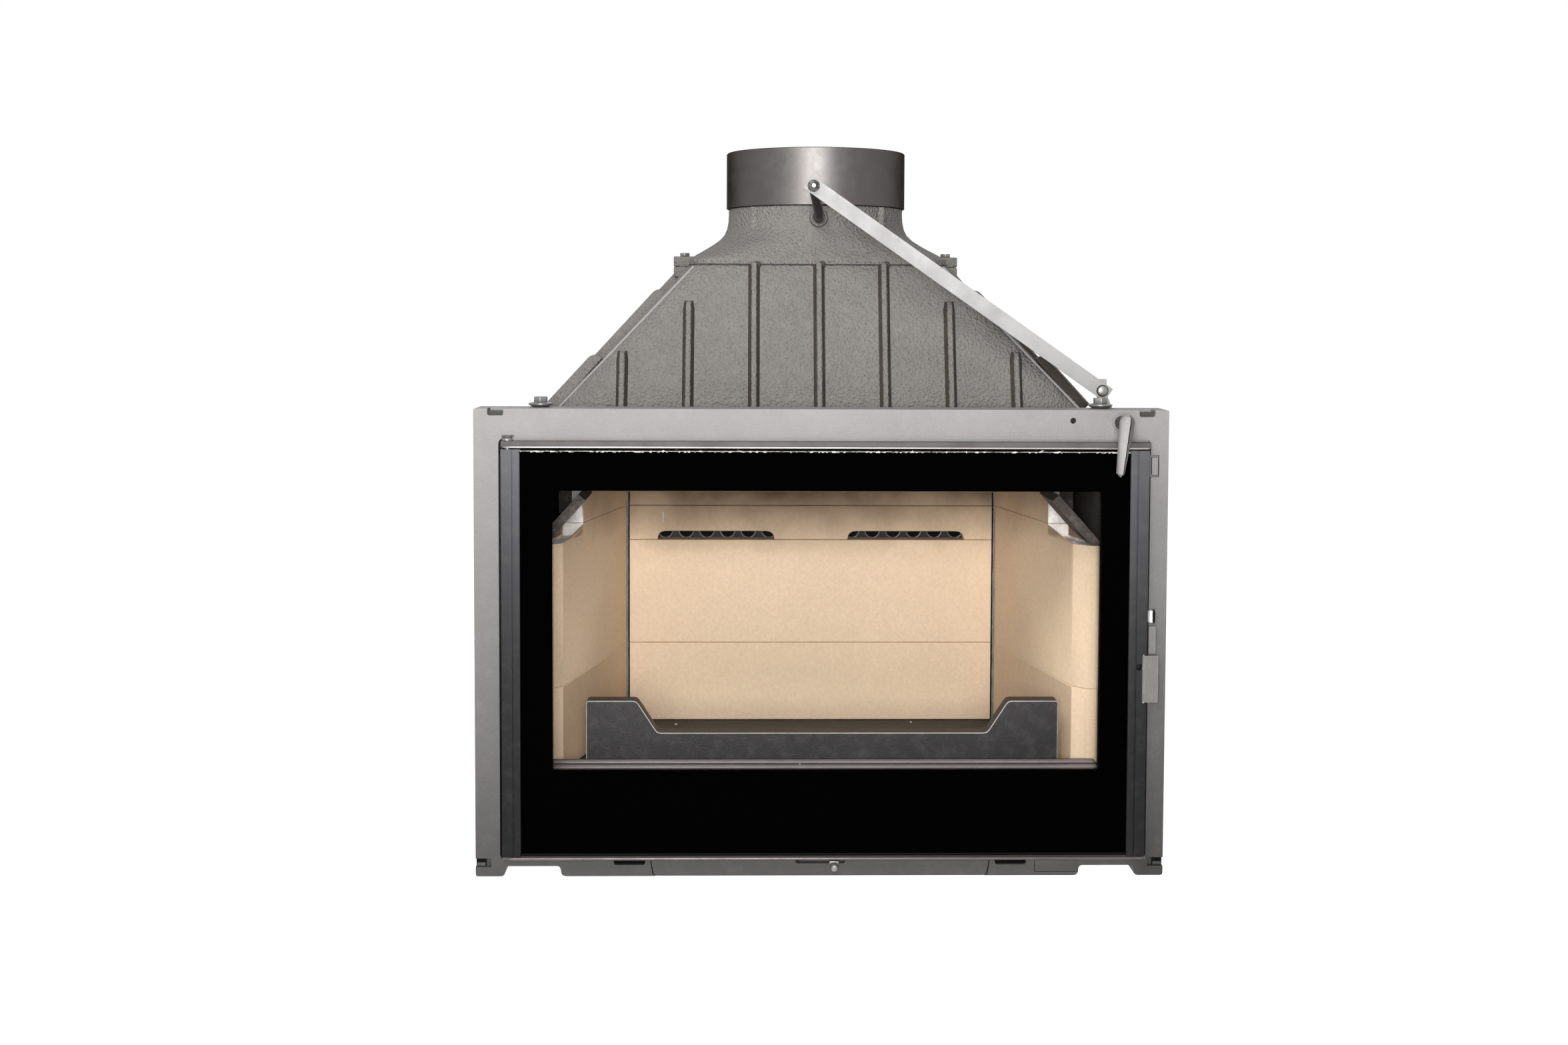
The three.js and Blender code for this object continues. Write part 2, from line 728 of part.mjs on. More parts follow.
function topCasting() {
  const low = shoulderHeight + seat;
  const rim = low + shoulderRim;
  const innerFlat = flatHalfWidth - castWall / 2;
  const corners = [
    [bodyHalfWidth, low], [bodyHalfWidth, rim], [flatHalfWidth, topPlateZ], [-flatHalfWidth, topPlateZ],
    [-bodyHalfWidth, rim], [-bodyHalfWidth, low], [-wallInnerX, low], [-wallInnerX, rim - castWall / 3],
    [-innerFlat, topPlateUnder], [innerFlat, topPlateUnder], [wallInnerX, rim - castWall / 3], [wallInnerX, low],
  ];
  const hat = prism('y', outline(corners), [bodyFront, backOuterY]);
  const lugs = [-1, 1].map((side) => {
    const centre = side * cornerBoltX;
    const span = [centre - cornerLugHalfWidth, centre + cornerLugHalfWidth];
    return block(span, [bodyFront, cornerBoltY + cornerLugHalfWidth + 1], [shoulderHeight + 10, topPlateZ]);
  });
  const hoodOpening = rectangle(
    [-hoodHalfWidth + 18, hoodHalfWidth - 18],
    [flueDepth - hoodHalfDepth + 18, flueDepth + hoodHalfDepth - 18],
    12,
  );
  const boltHoles = [-1, 1].map((side) => {
    const centre = [side * cornerBoltX, cornerBoltY];
    return rod('z', centre, boltRadius + holeFit, [shoulderHeight + 5, topPlateZ + 1], 20);
  });
  return cut(join(hat, lugs), prism('z', hoodOpening, [topPlateUnder - 1, topPlateZ + 1]), boltHoles);
}

// ---------------------------------------------------------------- smoke hood

const hoodRise = seamZ - seat - hoodBottom;

// Half sizes of the lower hood's outer face at a height.
function hoodHalves(z) {
  const share = (z - hoodBottom) / hoodRise;
  return [
    hoodHalfWidth + share * (seamHalfWidth - hoodHalfWidth),
    hoodHalfDepth + share * (seamHalfDepth - hoodHalfDepth),
  ];
}

function lowerHood() {
  const top = hoodBottom + hoodRise;
  const slantWall = hoodWall * 1.4; // level thickness of the sloping walls
  const outer = loft([
    flueRing(hoodBottom, ...hoodHalves(hoodBottom), 14),
    flueRing(top, ...hoodHalves(top), seamCorner),
  ]);
  const hollow = [hoodBottom - 1, top + 1].map((z) => {
    const [halfWidth, halfDepth] = hoodHalves(z);
    return flueRing(z, halfWidth - slantWall, halfDepth - hoodWall - 2, 16);
  });

  // Each rib ends with a short run-out; the ones that meet the joint keep their height.
  const ribStops = (drop) => {
    const end = seamZ - drop;
    const stops = [[hoodBottom, ribHeight]];
    if (drop === 0) return [...stops, [top, ribHeight * 0.8]];
    return [...stops, [end - 1.5 * ribHeight, ribHeight], [end - 3, ribHeight * 0.6], [end, 0]];
  };
  const frontAndBack = [-3, -2, -1, 0, 1, 2, 3].flatMap((step) => [-1, 1].map((side) => {
    const wallAt = (z) => [step * ribPitch, flueDepth + side * hoodHalves(z)[1]];
    return rib(wallAt, [0, side], ribStops(frontRibDrops[Math.abs(step)]));
  }));
  const sides = [-2, -1, 0, 1, 2].flatMap((step) => [-1, 1].map((side) => {
    const wallAt = (z) => [side * hoodHalves(z)[0], flueDepth + step * sideRibPitch];
    return rib(wallAt, [side, 0], ribStops(sideRibDrops[Math.abs(step)]));
  }));

  const lugs = [-1, 1].map((side) => {
    const span = [side * (seamHalfWidth - 15), side * lugReach].sort((a, b) => a - b);
    return block(span, [flueDepth - lugHalfWidth, flueDepth + lugHalfWidth], [top - lugDrop, top]);
  });
  const holes = [-1, 1].map((side) => {
    return rod('z', [side * lugBoltX, flueDepth], boltRadius + holeFit, [top - 20, top + 1], 20);
  });
  const solid = cut(join(outer, frontAndBack, sides), loft(hollow));
  return cut(join(solid, lugs), holes);
}

// The upper hood's outer face, from the joint's rim through a hollow sweep into the round neck.
function upperHoodRings(wall, [bottom, top]) {
  const sweep = new THREE.Path();
  const sweepStart = seamZ + seamRim;
  sweep.moveTo(seamHalfWidth, sweepStart);
  sweep.lineTo(seamHalfWidth - 26, sweepStart + 19);
  sweep.quadraticCurveTo(neckRadius + 1, neckBlendZ - 15, neckRadius, neckBlendZ);
  const stations = [new THREE.Vector2(seamHalfWidth, bottom), ...sweep.getPoints(4)];
  stations.push(new THREE.Vector2(neckRadius, top));
  return stations.map(({ x, y: z }) => {
    const share = (seamHalfWidth - x) / (seamHalfWidth - neckRadius);
    const halfDepth = seamHalfDepth + share * (neckRadius - seamHalfDepth);
    const radius = seamCorner + share * (neckRadius - wall - 0.5 - seamCorner);
    return flueRing(z, x - wall, halfDepth - wall, radius);
  });
}

function upperHood() {
  const outer = loft(upperHoodRings(0, [seamZ, neckTopZ]));
  const hollow = loft(upperHoodRings(hoodWall, [seamZ - 1, neckTopZ + 1]));
  const lugs = [-1, 1].map((side) => {
    const span = [side * (neckRadius + 15), side * lugReach].sort((a, b) => a - b);
    return prism('z', rectangle(span, [flueDepth - lugHalfWidth, flueDepth + lugHalfWidth], 5), [seamZ, seamZ + lugHeight]);
  });
  const ribs = [1, 3, 5, 7].map((eighth) => {
    const angle = eighth * Math.PI / 4;
    const out = [Math.cos(angle), Math.sin(angle)];
    const wallAt = () => [neckRadius * out[0], flueDepth + neckRadius * out[1]];
    const stops = [[neckBlendZ - 22, 1], [neckBlendZ - 14, neckRibHeight], [neckTopZ - 1, neckRibHeight]];
    return rib(wallAt, out, stops, neckRibWidth);
  });
  const bossFront = flueDepth - neckRadius - neckBossReach;
  const boss = rod('y', [0, damperZ], neckBossRadius, [bossFront, flueDepth - neckRadius + 4]);
  const rearBoss = rod('y', [0, damperZ], neckBossRadius, [flueDepth + neckRadius - 4, flueDepth + neckRadius + 3]);
  const holes = [-1, 1].map((side) => {
    const centre = [side * lugBoltX, flueDepth];
    return rod('z', centre, boltRadius + holeFit, [seamZ - 1, seamZ + lugHeight + 1], 20);
  });
  const bore = rod('y', [0, damperZ], shaftRadius + holeFit, [bossFront - 1, flueDepth + neckRadius + 5], 24);
  const counterbore = rod('y', [0, damperZ], neckBossRadius - 2.4, [bossFront - 1, bossFront + 5], 24);
  const shell = join(outer, lugs, ribs, boss, rearBoss);
  return cut(shell, hollow, holes, bore, counterbore);
}

function flueCollar() {
  const low = neckTopZ + seat;
  const spigotOuter = neckInner - 4 * seat;
  const spigotInner = spigotOuter - 4;
  const profile = [
    [spigotInner, neckTopZ - 7], [spigotOuter, neckTopZ - 7], [spigotOuter, low], [collarRadius, low],
    [collarRadius, flueTopZ], [collarRadius - collarWall, flueTopZ], [collarRadius - collarWall, low + 5],
    [spigotInner, low + 3], [spigotInner, neckTopZ - 7],
  ];
  const ring = new THREE.LatheGeometry(profile.map(([r, z]) => new THREE.Vector2(r, z)), 56);
  return toSolid(ring.rotateX(Math.PI / 2).translate(0, flueDepth, 0));
}

function lugBolt(side) {
  const centre = [side * lugBoltX, flueDepth];
  const headLow = seamZ + lugHeight + seat;
  const shank = rod('z', centre, boltRadius, [seamZ - 16, headLow + 1], 20);
  return join(hexagon('z', centre, boltHeadFlats, [headLow, headLow + boltHeadHeight]), shank);
}

function cornerBolt(side) {
  const centre = [side * cornerBoltX, cornerBoltY];
  const washerLow = frameHeight + seat;
  const headLow = washerLow + washerWall;
  return join(
    rod('z', centre, washerRadius, [washerLow, headLow + 0.2], 28),
    hexagon('z', centre, boltHeadFlats, [headLow, headLow + boltHeadHeight]),
    rod('z', centre, boltRadius, [shoulderHeight + 14, headLow + 1], 20),
  );
}

// ---------------------------------------------------------------- damper and linkage

function leverHandle() {
  const tip = [leverX - handleLean, leverZ - handleLength];
  const angle = Math.atan2(handleLean, handleLength);
  const shape = new THREE.Shape();
  shape.absarc(leverX, leverZ, handleTopRadius, -angle, Math.PI - angle, false);
  shape.absarc(tip[0], tip[1], handleTipRadius, Math.PI - angle, 2 * Math.PI - angle, false);
  shape.closePath();
  const bevel = 2.2;
  const blade = new THREE.ExtrudeGeometry(shape, {
    depth: handleWall - 2 * bevel,
    bevelThickness: bevel,
    bevelSize: bevel,
    bevelOffset: -bevel,
    bevelSegments: 2,
    curveSegments: 9,
  });
  const upright = new THREE.Matrix4().makeBasis(
    new THREE.Vector3(1, 0, 0),
    new THREE.Vector3(0, 0, 1),
    new THREE.Vector3(0, -1, 0),
  );
  blade.applyMatrix4(upright).translate(0, handleFront + handleWall - bevel, 0);
  const hub = rod('y', [leverX, leverZ], handleTopRadius - 1, [handleFront + handleWall - 3, -2 - 2 * seat]);
  const bore = rod('y', [leverX, leverZ], shaftRadius + holeFit, [handleFront + handleWall - 2, 0]);
  return cut(join(toSolid(blade), hub), bore);
}

function handleShaft() {
  return rod('y', [leverX, leverZ], shaftRadius, [handleFront + handleWall - 1.5, linkBack + seat + crankWall + 2]);
}

function crankPlate() {
  const pin = [leverX + crankX, leverZ + crankZ];
  const front = linkBack + seat;
  const half = crankWidth / 2;
  const strap = outline([
    [leverX - hubRadius, leverZ], [leverX + hubRadius, leverZ], [pin[0] + half, pin[1] - 4],
    [pin[0] + half, pin[1] + 12, 1], [pin[0] - half, pin[1] + 12, 1], [pin[0] - half, pin[1] - 4],
  ]);
  const hub = rod('y', [leverX, leverZ], hubRadius, [front, front + crankWall]);
  return cut(
    join(prism('y', strap, [front, front + crankWall]), hub),
    rod('y', [leverX, leverZ], shaftRadius + holeFit, [front - 1, front + crankWall + 1]),
    rod('y', pin, pinRadius + holeFit, [front - 1, front + crankWall + 1], 20),
  );
}

function linkPivotBolt() {
  const pin = [leverX + crankX, leverZ + crankZ];
  return join(
    rod('y', pin, pinRadius + 2.4, [linkY - seat - 3, linkY - seat], 28),
    rod('y', pin, pinRadius, [linkY - seat - 1, linkBack + seat + crankWall + 1], 20),
  );
}

// The link bar is drawn level, with its lower pin at the origin, and turned into place as a mesh.
const linkRun = leverX;
const linkClimb = damperZ - leverZ;
const linkLength = Math.hypot(linkRun, linkClimb);
const linkAngle = Math.atan2(linkClimb, linkRun);

function linkBar() {
  const plate = rectangle([-linkLength - linkEnd, linkEnd], [-linkWidth / 2, linkWidth / 2], 0.8);
  return cut(
    prism('y', plate, [0, linkWall]),
    rod('y', [0, 0], pinRadius + holeFit, [-1, linkWall + 1], 20),
    rod('y', [-linkLength, 0], pinRadius + holeFit, [-1, linkWall + 1], 20),
  );
}

// A round rod across the neck whose outer end is bent to a crank and flattened to carry the link bar.
function damperShaft() {
  const pin = new THREE.Vector3(crankX, 0, damperZ + crankZ);
  const padFront = linkBack + seat;
  const padWall = 5;
  const bendStart = flueDepth - neckRadius - neckBossReach - 6;
  const bent = new THREE.CatmullRomCurve3([
    new THREE.Vector3(0, bendStart + 12, damperZ),
    new THREE.Vector3(0, bendStart, damperZ),
    new THREE.Vector3(crankX * 0.1, bendStart - bendRun / 2, damperZ + crankZ * 0.12),
    new THREE.Vector3(crankX * 0.5, bendStart - bendRun, damperZ + crankZ * 0.5),
    new THREE.Vector3(crankX * 0.85, padFront + padWall + 1, damperZ + crankZ * 0.84),
    new THREE.Vector3(crankX, padFront + padWall - 2, damperZ + crankZ),
  ]);
  const section = new THREE.Shape().absarc(0, 0, shaftRadius, 0, 2 * Math.PI);
  const arm = new THREE.ExtrudeGeometry(section, { steps: 12, extrudePath: bent, curveSegments: 10 });
  const reach = 2 * crankZ;
  const squareEnd = block([-reach, reach], [padFront - reach, padFront + 0.5], [damperZ, damperZ + reach]);
  return join(
    rod('y', [0, damperZ], shaftRadius, [bendStart + 10, flueDepth + neckRadius - 1], 24),
    cut(toSolid(arm), squareEnd),
    rod('y', [pin.x, pin.z], lugPadRadius, [padFront, padFront + padWall], 28),
    rod('y', [pin.x, pin.z], pinRadius, [linkY - 2 * seat - linkNutHeight - 2, padFront + 1], 20),
  );
}

function linkNut() {
  const centre = [crankX, damperZ + crankZ];
  const back = linkY - seat;
  return cut(
    join(
      hexagon('y', centre, linkNutFlats, [back - linkNutHeight, back - 1]),
      rod('y', centre, linkNutFlats / 2 + 0.5, [back - 1.2, back], 24),
    ),
    rod('y', centre, pinRadius + holeFit, [back - linkNutHeight - 1, back + 1], 20),
  );
}

function damperDisc() {
  const plate = rod('x', [flueDepth, damperZ], damperRadius, [-damperWall / 2, damperWall / 2], 56);
  const sleeve = rod('y', [0, damperZ], shaftRadius + 3, [flueDepth - damperRadius * 0.8, flueDepth + damperRadius * 0.8], 24);
  const bore = rod('y', [0, damperZ], shaftRadius + holeFit, [flueDepth - damperRadius - 1, flueDepth + damperRadius + 1], 24);
  return cut(join(plate, sleeve), bore);
}

// ---------------------------------------------------------------- door

// Upright door edge. side is -1 on the hinge edge and 1 on the latch edge.
function stile(side) {
  const outer = side < 0 ? doorLeft : doorRight;
  const at = (inset) => outer - side * inset;
  const grooveEnd = grooveStart + grooveWidth;
  const corners = [
    [0, doorFront, 1.5], [grooveStart, doorFront], [grooveStart, doorFront + grooveDepth],
    [grooveEnd, doorFront + grooveDepth], [grooveEnd, doorFront], [stileWidth, doorFront, 1],
    [stileWidth, glassFront - seat], [stileBlock, glassFront - seat], [stileBlock, slotBack],
    [stileWidth, slotBack], [stileWidth, doorBack], [0, doorBack, 2],
  ];
  const shape = outline(corners.map(([inset, y, radius]) => [at(inset), y, radius]));
  return prism('z', shape, [doorBottom, doorTop], 3);
}

function leftStile() {
  const radius = hingePinRadius + holeFit;
  return cut(
    stile(-1),
    rod('z', [hingeX, hingeAxisY], radius, [doorBottom - 1, bottomRailTop + hingePinGrip + 2], 24),
    rod('z', [hingeX, hingeAxisY], radius, [doorTop - hingePinGrip - 2, doorTop + 1], 24),
  );
}

function rightStile() {
  const pocketLeft = latchX - latchBarrelRadius - seat;
  const pocketBack = latchAxisY + latchBarrelRadius + seat;
  const pinHole = rod('z', [latchX, latchAxisY], latchPinRadius + holeFit, [latchBottom - 6, latchTop + 6], 16);
  return cut(
    stile(1),
    block([pocketLeft, doorRight + 1], [doorFront - 1, pocketBack], [latchBottom - 1, latchTop + 1]),
    pinHole,
    rod('y', [doorRight - toolHoleX, toolHoleZ], toolHoleRadius, [doorFront - 1, doorFront + 10], 24),
  );
}

const barSpan = [doorLeft + stileWidth + seat, doorRight - stileWidth - seat];

function topBar() {
  const low = doorTop - barHeight;
  const corners = [
    [glassFront, glassTop + seat], [slotBack, glassTop + seat], [slotBack, low], [doorBack, low],
    [doorBack, doorTop], [glassFront, doorTop, 0.8],
  ];
  return prism('x', outline(corners), barSpan);
}

function bottomBar() {
  const high = doorBottom + barHeight;
  const corners = [
    [glassFront, doorBottom, 0.8], [doorBack, doorBottom], [doorBack, high], [slotBack, high],
    [slotBack, glassBottom - seat], [glassFront, glassBottom - seat],
  ];
  return prism('x', outline(corners), barSpan);
}

function glassTape() {
  const inset = 1;
  const edge = inset + tapeWidth;
  const ring = rectangularRing(
    [[leftGlassEdge + inset, rightGlassEdge - inset], [glassBottom + inset, glassTop - inset], 4],
    [[leftGlassEdge + edge, rightGlassEdge - edge], [glassBottom + edge, glassTop - edge], 2],
  );
  return prism('y', ring, [glassBack + seat, glassBack + seat + tapeWall]);
}

function doorRope() {
  const outer = [[doorLeft + ropeInset, doorRight - ropeInset], [doorBottom + ropeInset, doorTop - ropeInset], 14];
  const inner = [
    [outer[0][0] + ropeWidth, outer[0][1] - ropeWidth],
    [outer[1][0] + ropeWidth, outer[1][1] - ropeWidth],
    14 - ropeWidth,
  ];
  const bevel = 2;
  const ring = new THREE.ExtrudeGeometry(rectangularRing(outer, inner), {
    depth: sealFaceY - doorBack - 2 * seat - 2 * bevel,
    bevelThickness: bevel,
    bevelSize: bevel,
    bevelOffset: -bevel,
    bevelSegments: 1,
    curveSegments: 5,
  });
  const upright = new THREE.Matrix4().makeBasis(
    new THREE.Vector3(1, 0, 0),
    new THREE.Vector3(0, 0, 1),
    new THREE.Vector3(0, -1, 0),
  );
  return toSolid(ring.applyMatrix4(upright).translate(0, sealFaceY - seat - bevel, 0));
}

// Fixed rails above and below the door carry its hinge pins and butt against the seal ring.
function hingeRail(low, high, roundHigh) {
  const bead = Math.min(high - low, topRailHeight) * 0.45;
  const web = roundHigh ? [low, low + railWeb] : [high - railWeb, high];
  const noseBack = doorFront + 12;
  const corners = high - low > railWeb + 1
    ? [[doorFront, low, bead], [noseBack, low, 1], [noseBack, web[0]], [sealFaceY - seat, web[0]],
      [sealFaceY - seat, high], [doorFront + 1, high, 1]]
    : [[doorFront, low, bead], [sealFaceY - seat, low], [sealFaceY - seat, high], [doorFront, high, bead]];
  const bar = prism('x', outline(corners), [doorLeft + 0.5, doorRight + 1]);
  return cut(bar, rod('z', [hingeX, hingeAxisY], hingePinRadius + holeFit, [low - 1, high + 1], 24));
}

function topHingePin() {
  const base = railTopZ + seat;
  const sphere = (domeRadius ** 2 + domeHeight ** 2) / (2 * domeHeight);
  const sweep = Math.asin(domeRadius / sphere);
  const profile = [new THREE.Vector2(0, 0)];
  for (let step = 0; step <= 5; step++) {
    const angle = sweep * (1 - step / 5);
    profile.push(new THREE.Vector2(sphere * Math.sin(angle), sphere * Math.cos(angle) - sphere + domeHeight));
  }
  profile.at(-1).x = 0;
  const dome = new THREE.LatheGeometry(profile, 28).rotateX(Math.PI / 2).translate(hingeX, hingeAxisY, base);
  const shank = rod('z', [hingeX, hingeAxisY], hingePinRadius, [doorTop - hingePinGrip, base + 0.5], 24);
  return join(toSolid(dome), shank);
}

function bottomHingePin() {
  return rod('z', [hingeX, hingeAxisY], hingePinRadius, [railBottomZ, bottomRailTop + hingePinGrip], 24);
}

// ---------------------------------------------------------------- latch

function latchLever() {
  const plateLeft = latchX;
  const plateRight = doorRight + latchReach;
  const plate = block([plateLeft, plateRight], [doorFront, doorFront + latchWall], [latchBottom, latchTop]);
  const barrel = rod('z', [latchX, latchAxisY], latchBarrelRadius, [latchBottom, latchTop], 20);
  const bore = rod('z', [latchX, latchAxisY], latchPinRadius + holeFit, [latchBottom - 1, latchTop + 1], 16);
  return cut(join(plate, barrel), bore);
}

function latchKeeper() {
  const left = openingRight - 0.6;
  const low = latchTop + 1;
  const plate = rectangle([left, left + keeperWidth], [low, low + keeperHeight], 1.2);
  return prism('y', plate, [-seat - keeperWall, -seat], 3);
}

function strikePin() {
  const middle = [openingRight + strikeRadius / 2, -1 - seat];
  const half = (strikeTop - strikeBottom) / 2;
  const capsule = new THREE.CapsuleGeometry(strikeRadius, 2 * (half - strikeRadius), 5, 20);
  return toSolid(capsule.rotateX(Math.PI / 2).translate(middle[0], middle[1], strikeBottom + half));
}

function stopPad() {
  const left = openingRight + 1;
  return prism('y', rectangle([left, left + stopPadWidth], [stopPadBottom, stopPadTop], 0.8), [-0.8, 4], 3);
}

// ---------------------------------------------------------------- firebox

function manifoldFront() {
  return brickFaceY + 2 * seat + backBrickWall;
}

function hearthPlate() {
  const plate = block([-wallInnerX + 1, wallInnerX - 1], [hearthFront, manifoldFront() - seat], [hearthUnder, hearthTop]);
  const grateBack = grateFront + grateDepth;
  const half = grateHalfWidth;
  const rebate = block([-half, half], [grateFront, grateBack], [hearthTop - grateWall - 2 * seat, hearthTop + 1]);
  const well = block(
    [-half + grateLedge, half - grateLedge],
    [grateFront + grateLedge, grateBack - grateLedge],
    [hearthUnder - 1, hearthTop],
  );
  return cut(plate, rebate, well);
}

function fireGrate() {
  const half = grateHalfWidth - seat;
  const span = [grateFront + seat, grateFront + grateDepth - seat];
  const plate = block([-half, half], span, [hearthTop - grateWall - seat, hearthTop - seat]);
  const border = grateLedge + 4;
  const pitch = (2 * (half - border) + grateBar) / grateSlots;
  const slots = Array.from({ length: grateSlots }, (unused, i) => {
    const start = -half + border + i * pitch;
    return block([start, start + pitch - grateBar], [span[0] + border, span[1] - border], [0, hearthTop + 1]);
  });
  return cut(plate, slots);
}

function ashPan() {
  const half = grateHalfWidth - grateLedge;
  const low = baseTop + seat;
  const spanY = [grateFront - 4, grateFront + grateDepth + 4];
  const tray = block([-half, half], spanY, [low, low + ashPanHeight]);
  const inside = block(
    [-half + ashPanWall, half - ashPanWall],
    [spanY[0] + ashPanWall, spanY[1] - ashPanWall],
    [low + ashPanWall, low + ashPanHeight + 1],
  );
  return cut(tray, inside);
}

function sillPlate() {
  const half = mouthHalfWidth - 1;
  const legFront = sillBack - fenderWall;
  const corners = [
    [sillFront, sillTop - sillWall], [legFront, sillTop - sillWall], [legFront, brickBottom], [sillBack, brickBottom],
    [sillBack, sillTop], [sillFront, sillTop, 2],
  ];
  const pitch = (sillBack - sillFront) / (sillGrooves + 1);
  const grooves = Array.from({ length: sillGrooves }, (unused, i) => {
    const y = sillFront + (i + 1) * pitch;
    const span = [y - sillGrooveWidth / 2, y + sillGrooveWidth / 2];
    return block([-half - 1, half + 1], span, [sillTop - sillGrooveDepth, sillTop + 1]);
  });
  return cut(prism('x', outline(corners), [-half, half]), grooves);
}

function fenderOutline(inset, bottom) {
  const half = fenderHalfWidth - inset;
  const low = fenderLowHalfWidth + inset * 0.5;
  const slantTop = low + fenderSlant;
  const top = fenderTop - inset;
  const valley = fenderLow - inset;
  const corners = [
    [-half, bottom], [half, bottom], [half, top, 3], [slantTop, top, 4], [low, valley, 4],
    [-low, valley, 4], [-slantTop, top, 4], [-half, top, 3],
  ];
  return outline(corners.map(([x, z, radius]) => [x + fenderShift, z, radius]));
}

function logFender() {
  const shell = prism('y', fenderOutline(0, brickBottom), [fenderFront, fenderFront + fenderDepth], 3);
  const hollow = prism('y', fenderOutline(fenderWall, 0), [fenderFront + fenderWall, fenderFront + fenderDepth + 1], 3);
  return cut(shell, hollow);
}

function backBrick([low, high]) {
  const depth = [brickFaceY + seat, brickFaceY + seat + backBrickWall];
  return block([-backBrickHalfWidth, backBrickHalfWidth], depth, [low, high]);
}

function slottedBackBrick([low, high]) {
  const slots = [-1, 1].map((side) => {
    const span = [side * slotInner, side * slotOuter].sort((a, b) => a - b);
    const mouth = outline([
      [span[0], low - 1], [span[1], low - 1], [span[1], low + slotHeight, slotHeight],
      [span[0], low + slotHeight, slotHeight],
    ]);
    return prism('y', mouth, [brickFaceY - 1, brickFaceY + backBrickWall + 2], 4);
  });
  return cut(backBrick([low, high]), slots);
}

// Plan outline of the splayed side wall, with the bevel at its front end.
function sideWallPlan(side) {
  const bevelBack = sideFrontY + sideBevel;
  const outerFront = sideFrontX + sideSlope * sideBevel + sideOffset;
  return outline([
    [side * (sideFrontX + sideBevel), sideFrontY], [side * outerFront, sideFrontY],
    [side * (sideBackX + sideOffset), brickFaceY], [side * sideBackX, brickFaceY],
    [side * sideFrontX, bevelBack],
  ]);
}

function sideBrick(side, span) {
  return prism('z', sideWallPlan(side), span);
}

function notchedSideBrick(side) {
  const notch = block([-frameWidth, frameWidth], [0, notchBack], [notchFloor, jointHigh + 1]);
  return cut(sideBrick(side, [jointLow, jointHigh - seat]), notch);
}

function baffleUnder(y) {
  return baffleBack + (brickFaceY - y) * baffleRise;
}

// The top side brick is cut along the baffle's underside, so that the baffle lies on it.
function topSideBrick(side) {
  const profile = outline([
    [notchBack, jointHigh], [brickFaceY, jointHigh], [brickFaceY, baffleUnder(brickFaceY) - seat],
    [notchBack, baffleUnder(notchBack) - seat],
  ]);
  const full = sideBrick(side, [jointHigh, baffleUnder(notchBack)]);
  return full.intersect(prism('x', profile, [-frameWidth, frameWidth]));
}

function bafflePlate() {
  const back = brickFaceY;
  const profile = outline([
    [back, baffleUnder(back)], [back, baffleUnder(back) + baffleWall],
    [baffleFrontY, baffleUnder(baffleFrontY) + baffleWall], [baffleFrontY, baffleUnder(baffleFrontY)],
  ]);
  return prism('x', profile, [-baffleHalfWidth, baffleHalfWidth]);
}

// An iron plate that leans inwards from the side casting and stands on the notch of the side bricks.
function smokeDeflector(side) {
  const length = Math.hypot(deflectorReach, deflectorRise);
  const normal = [deflectorRise / length * deflectorWall, deflectorReach / length * deflectorWall];
  const right = wallInnerX - seat;
  const foot = notchFloor + seat;
  const slope = deflectorReach / deflectorRise;
  const heel = normal[0] * 0.6;
  const top = [right - deflectorReach, foot + heel + deflectorRise];
  const under = [top[0] - normal[0], top[1] - normal[1]];
  const corners = [
    [right, foot], [right, foot + heel], top, under, [under[0] + (under[1] - foot) * slope, foot],
  ];
  const shape = outline(corners.map(([x, z]) => [side * x, z]));
  return prism('y', shape, [deflectorFront, deflectorFront + deflectorLength]);
}

function airManifold() {
  const front = manifoldFront();
  const back = front + manifoldDepth;
  const half = manifoldHalfWidth;
  const duct = block([-half, half], [front, back], [baseTop + seat, manifoldTop]);
  const inside = block(
    [-half + sheetWall, half - sheetWall],
    [front + sheetWall, back - sheetWall],
    [baseTop, manifoldTop - sheetWall],
  );
  const holes = [-1, 1].flatMap((side) => Array.from({ length: airHoleCount }, (unused, i) => {
    const x = side * (airHoleFirst + i * airHolePitch);
    return rod('y', [x, airHoleZ], airHoleRadius, [front - 1, front + sheetWall + 1], 16);
  }));
  return cut(duct, inside, holes);
}

// ---------------------------------------------------------------- the assembly

const insert = new THREE.Group();
const castings = new THREE.Group();
const firebox = new THREE.Group();
const door = new THREE.Group();
const linkage = new THREE.Group();

piece(castings, 'front_frame', frontFrame(), frameIron);
piece(castings, 'lower_center_panel', centrePanel(), frameIron);
piece(castings, 'air_control_slide', airSlide(), doorSteel);
piece(castings, 'base_casting', baseCasting(), bodyIron);
piece(castings, 'left_side_casting', sideCasting(-1), bodyIron);
piece(castings, 'right_side_casting', sideCasting(1), bodyIron);
piece(castings, 'back_casting', backCasting(), bodyIron);
piece(castings, 'top_casting', topCasting(), bodyIron);
piece(castings, 'lower_hood', lowerHood(), hoodIron);
piece(castings, 'upper_hood', upperHood(), hoodIron);
piece(castings, 'flue_collar', flueCollar(), collarSteel);
piece(castings, 'left_lug_bolt', lugBolt(-1), zinc);
piece(castings, 'right_lug_bolt', lugBolt(1), zinc);
piece(castings, 'left_corner_bolt', cornerBolt(-1), zinc);
piece(castings, 'right_corner_bolt', cornerBolt(1), zinc);

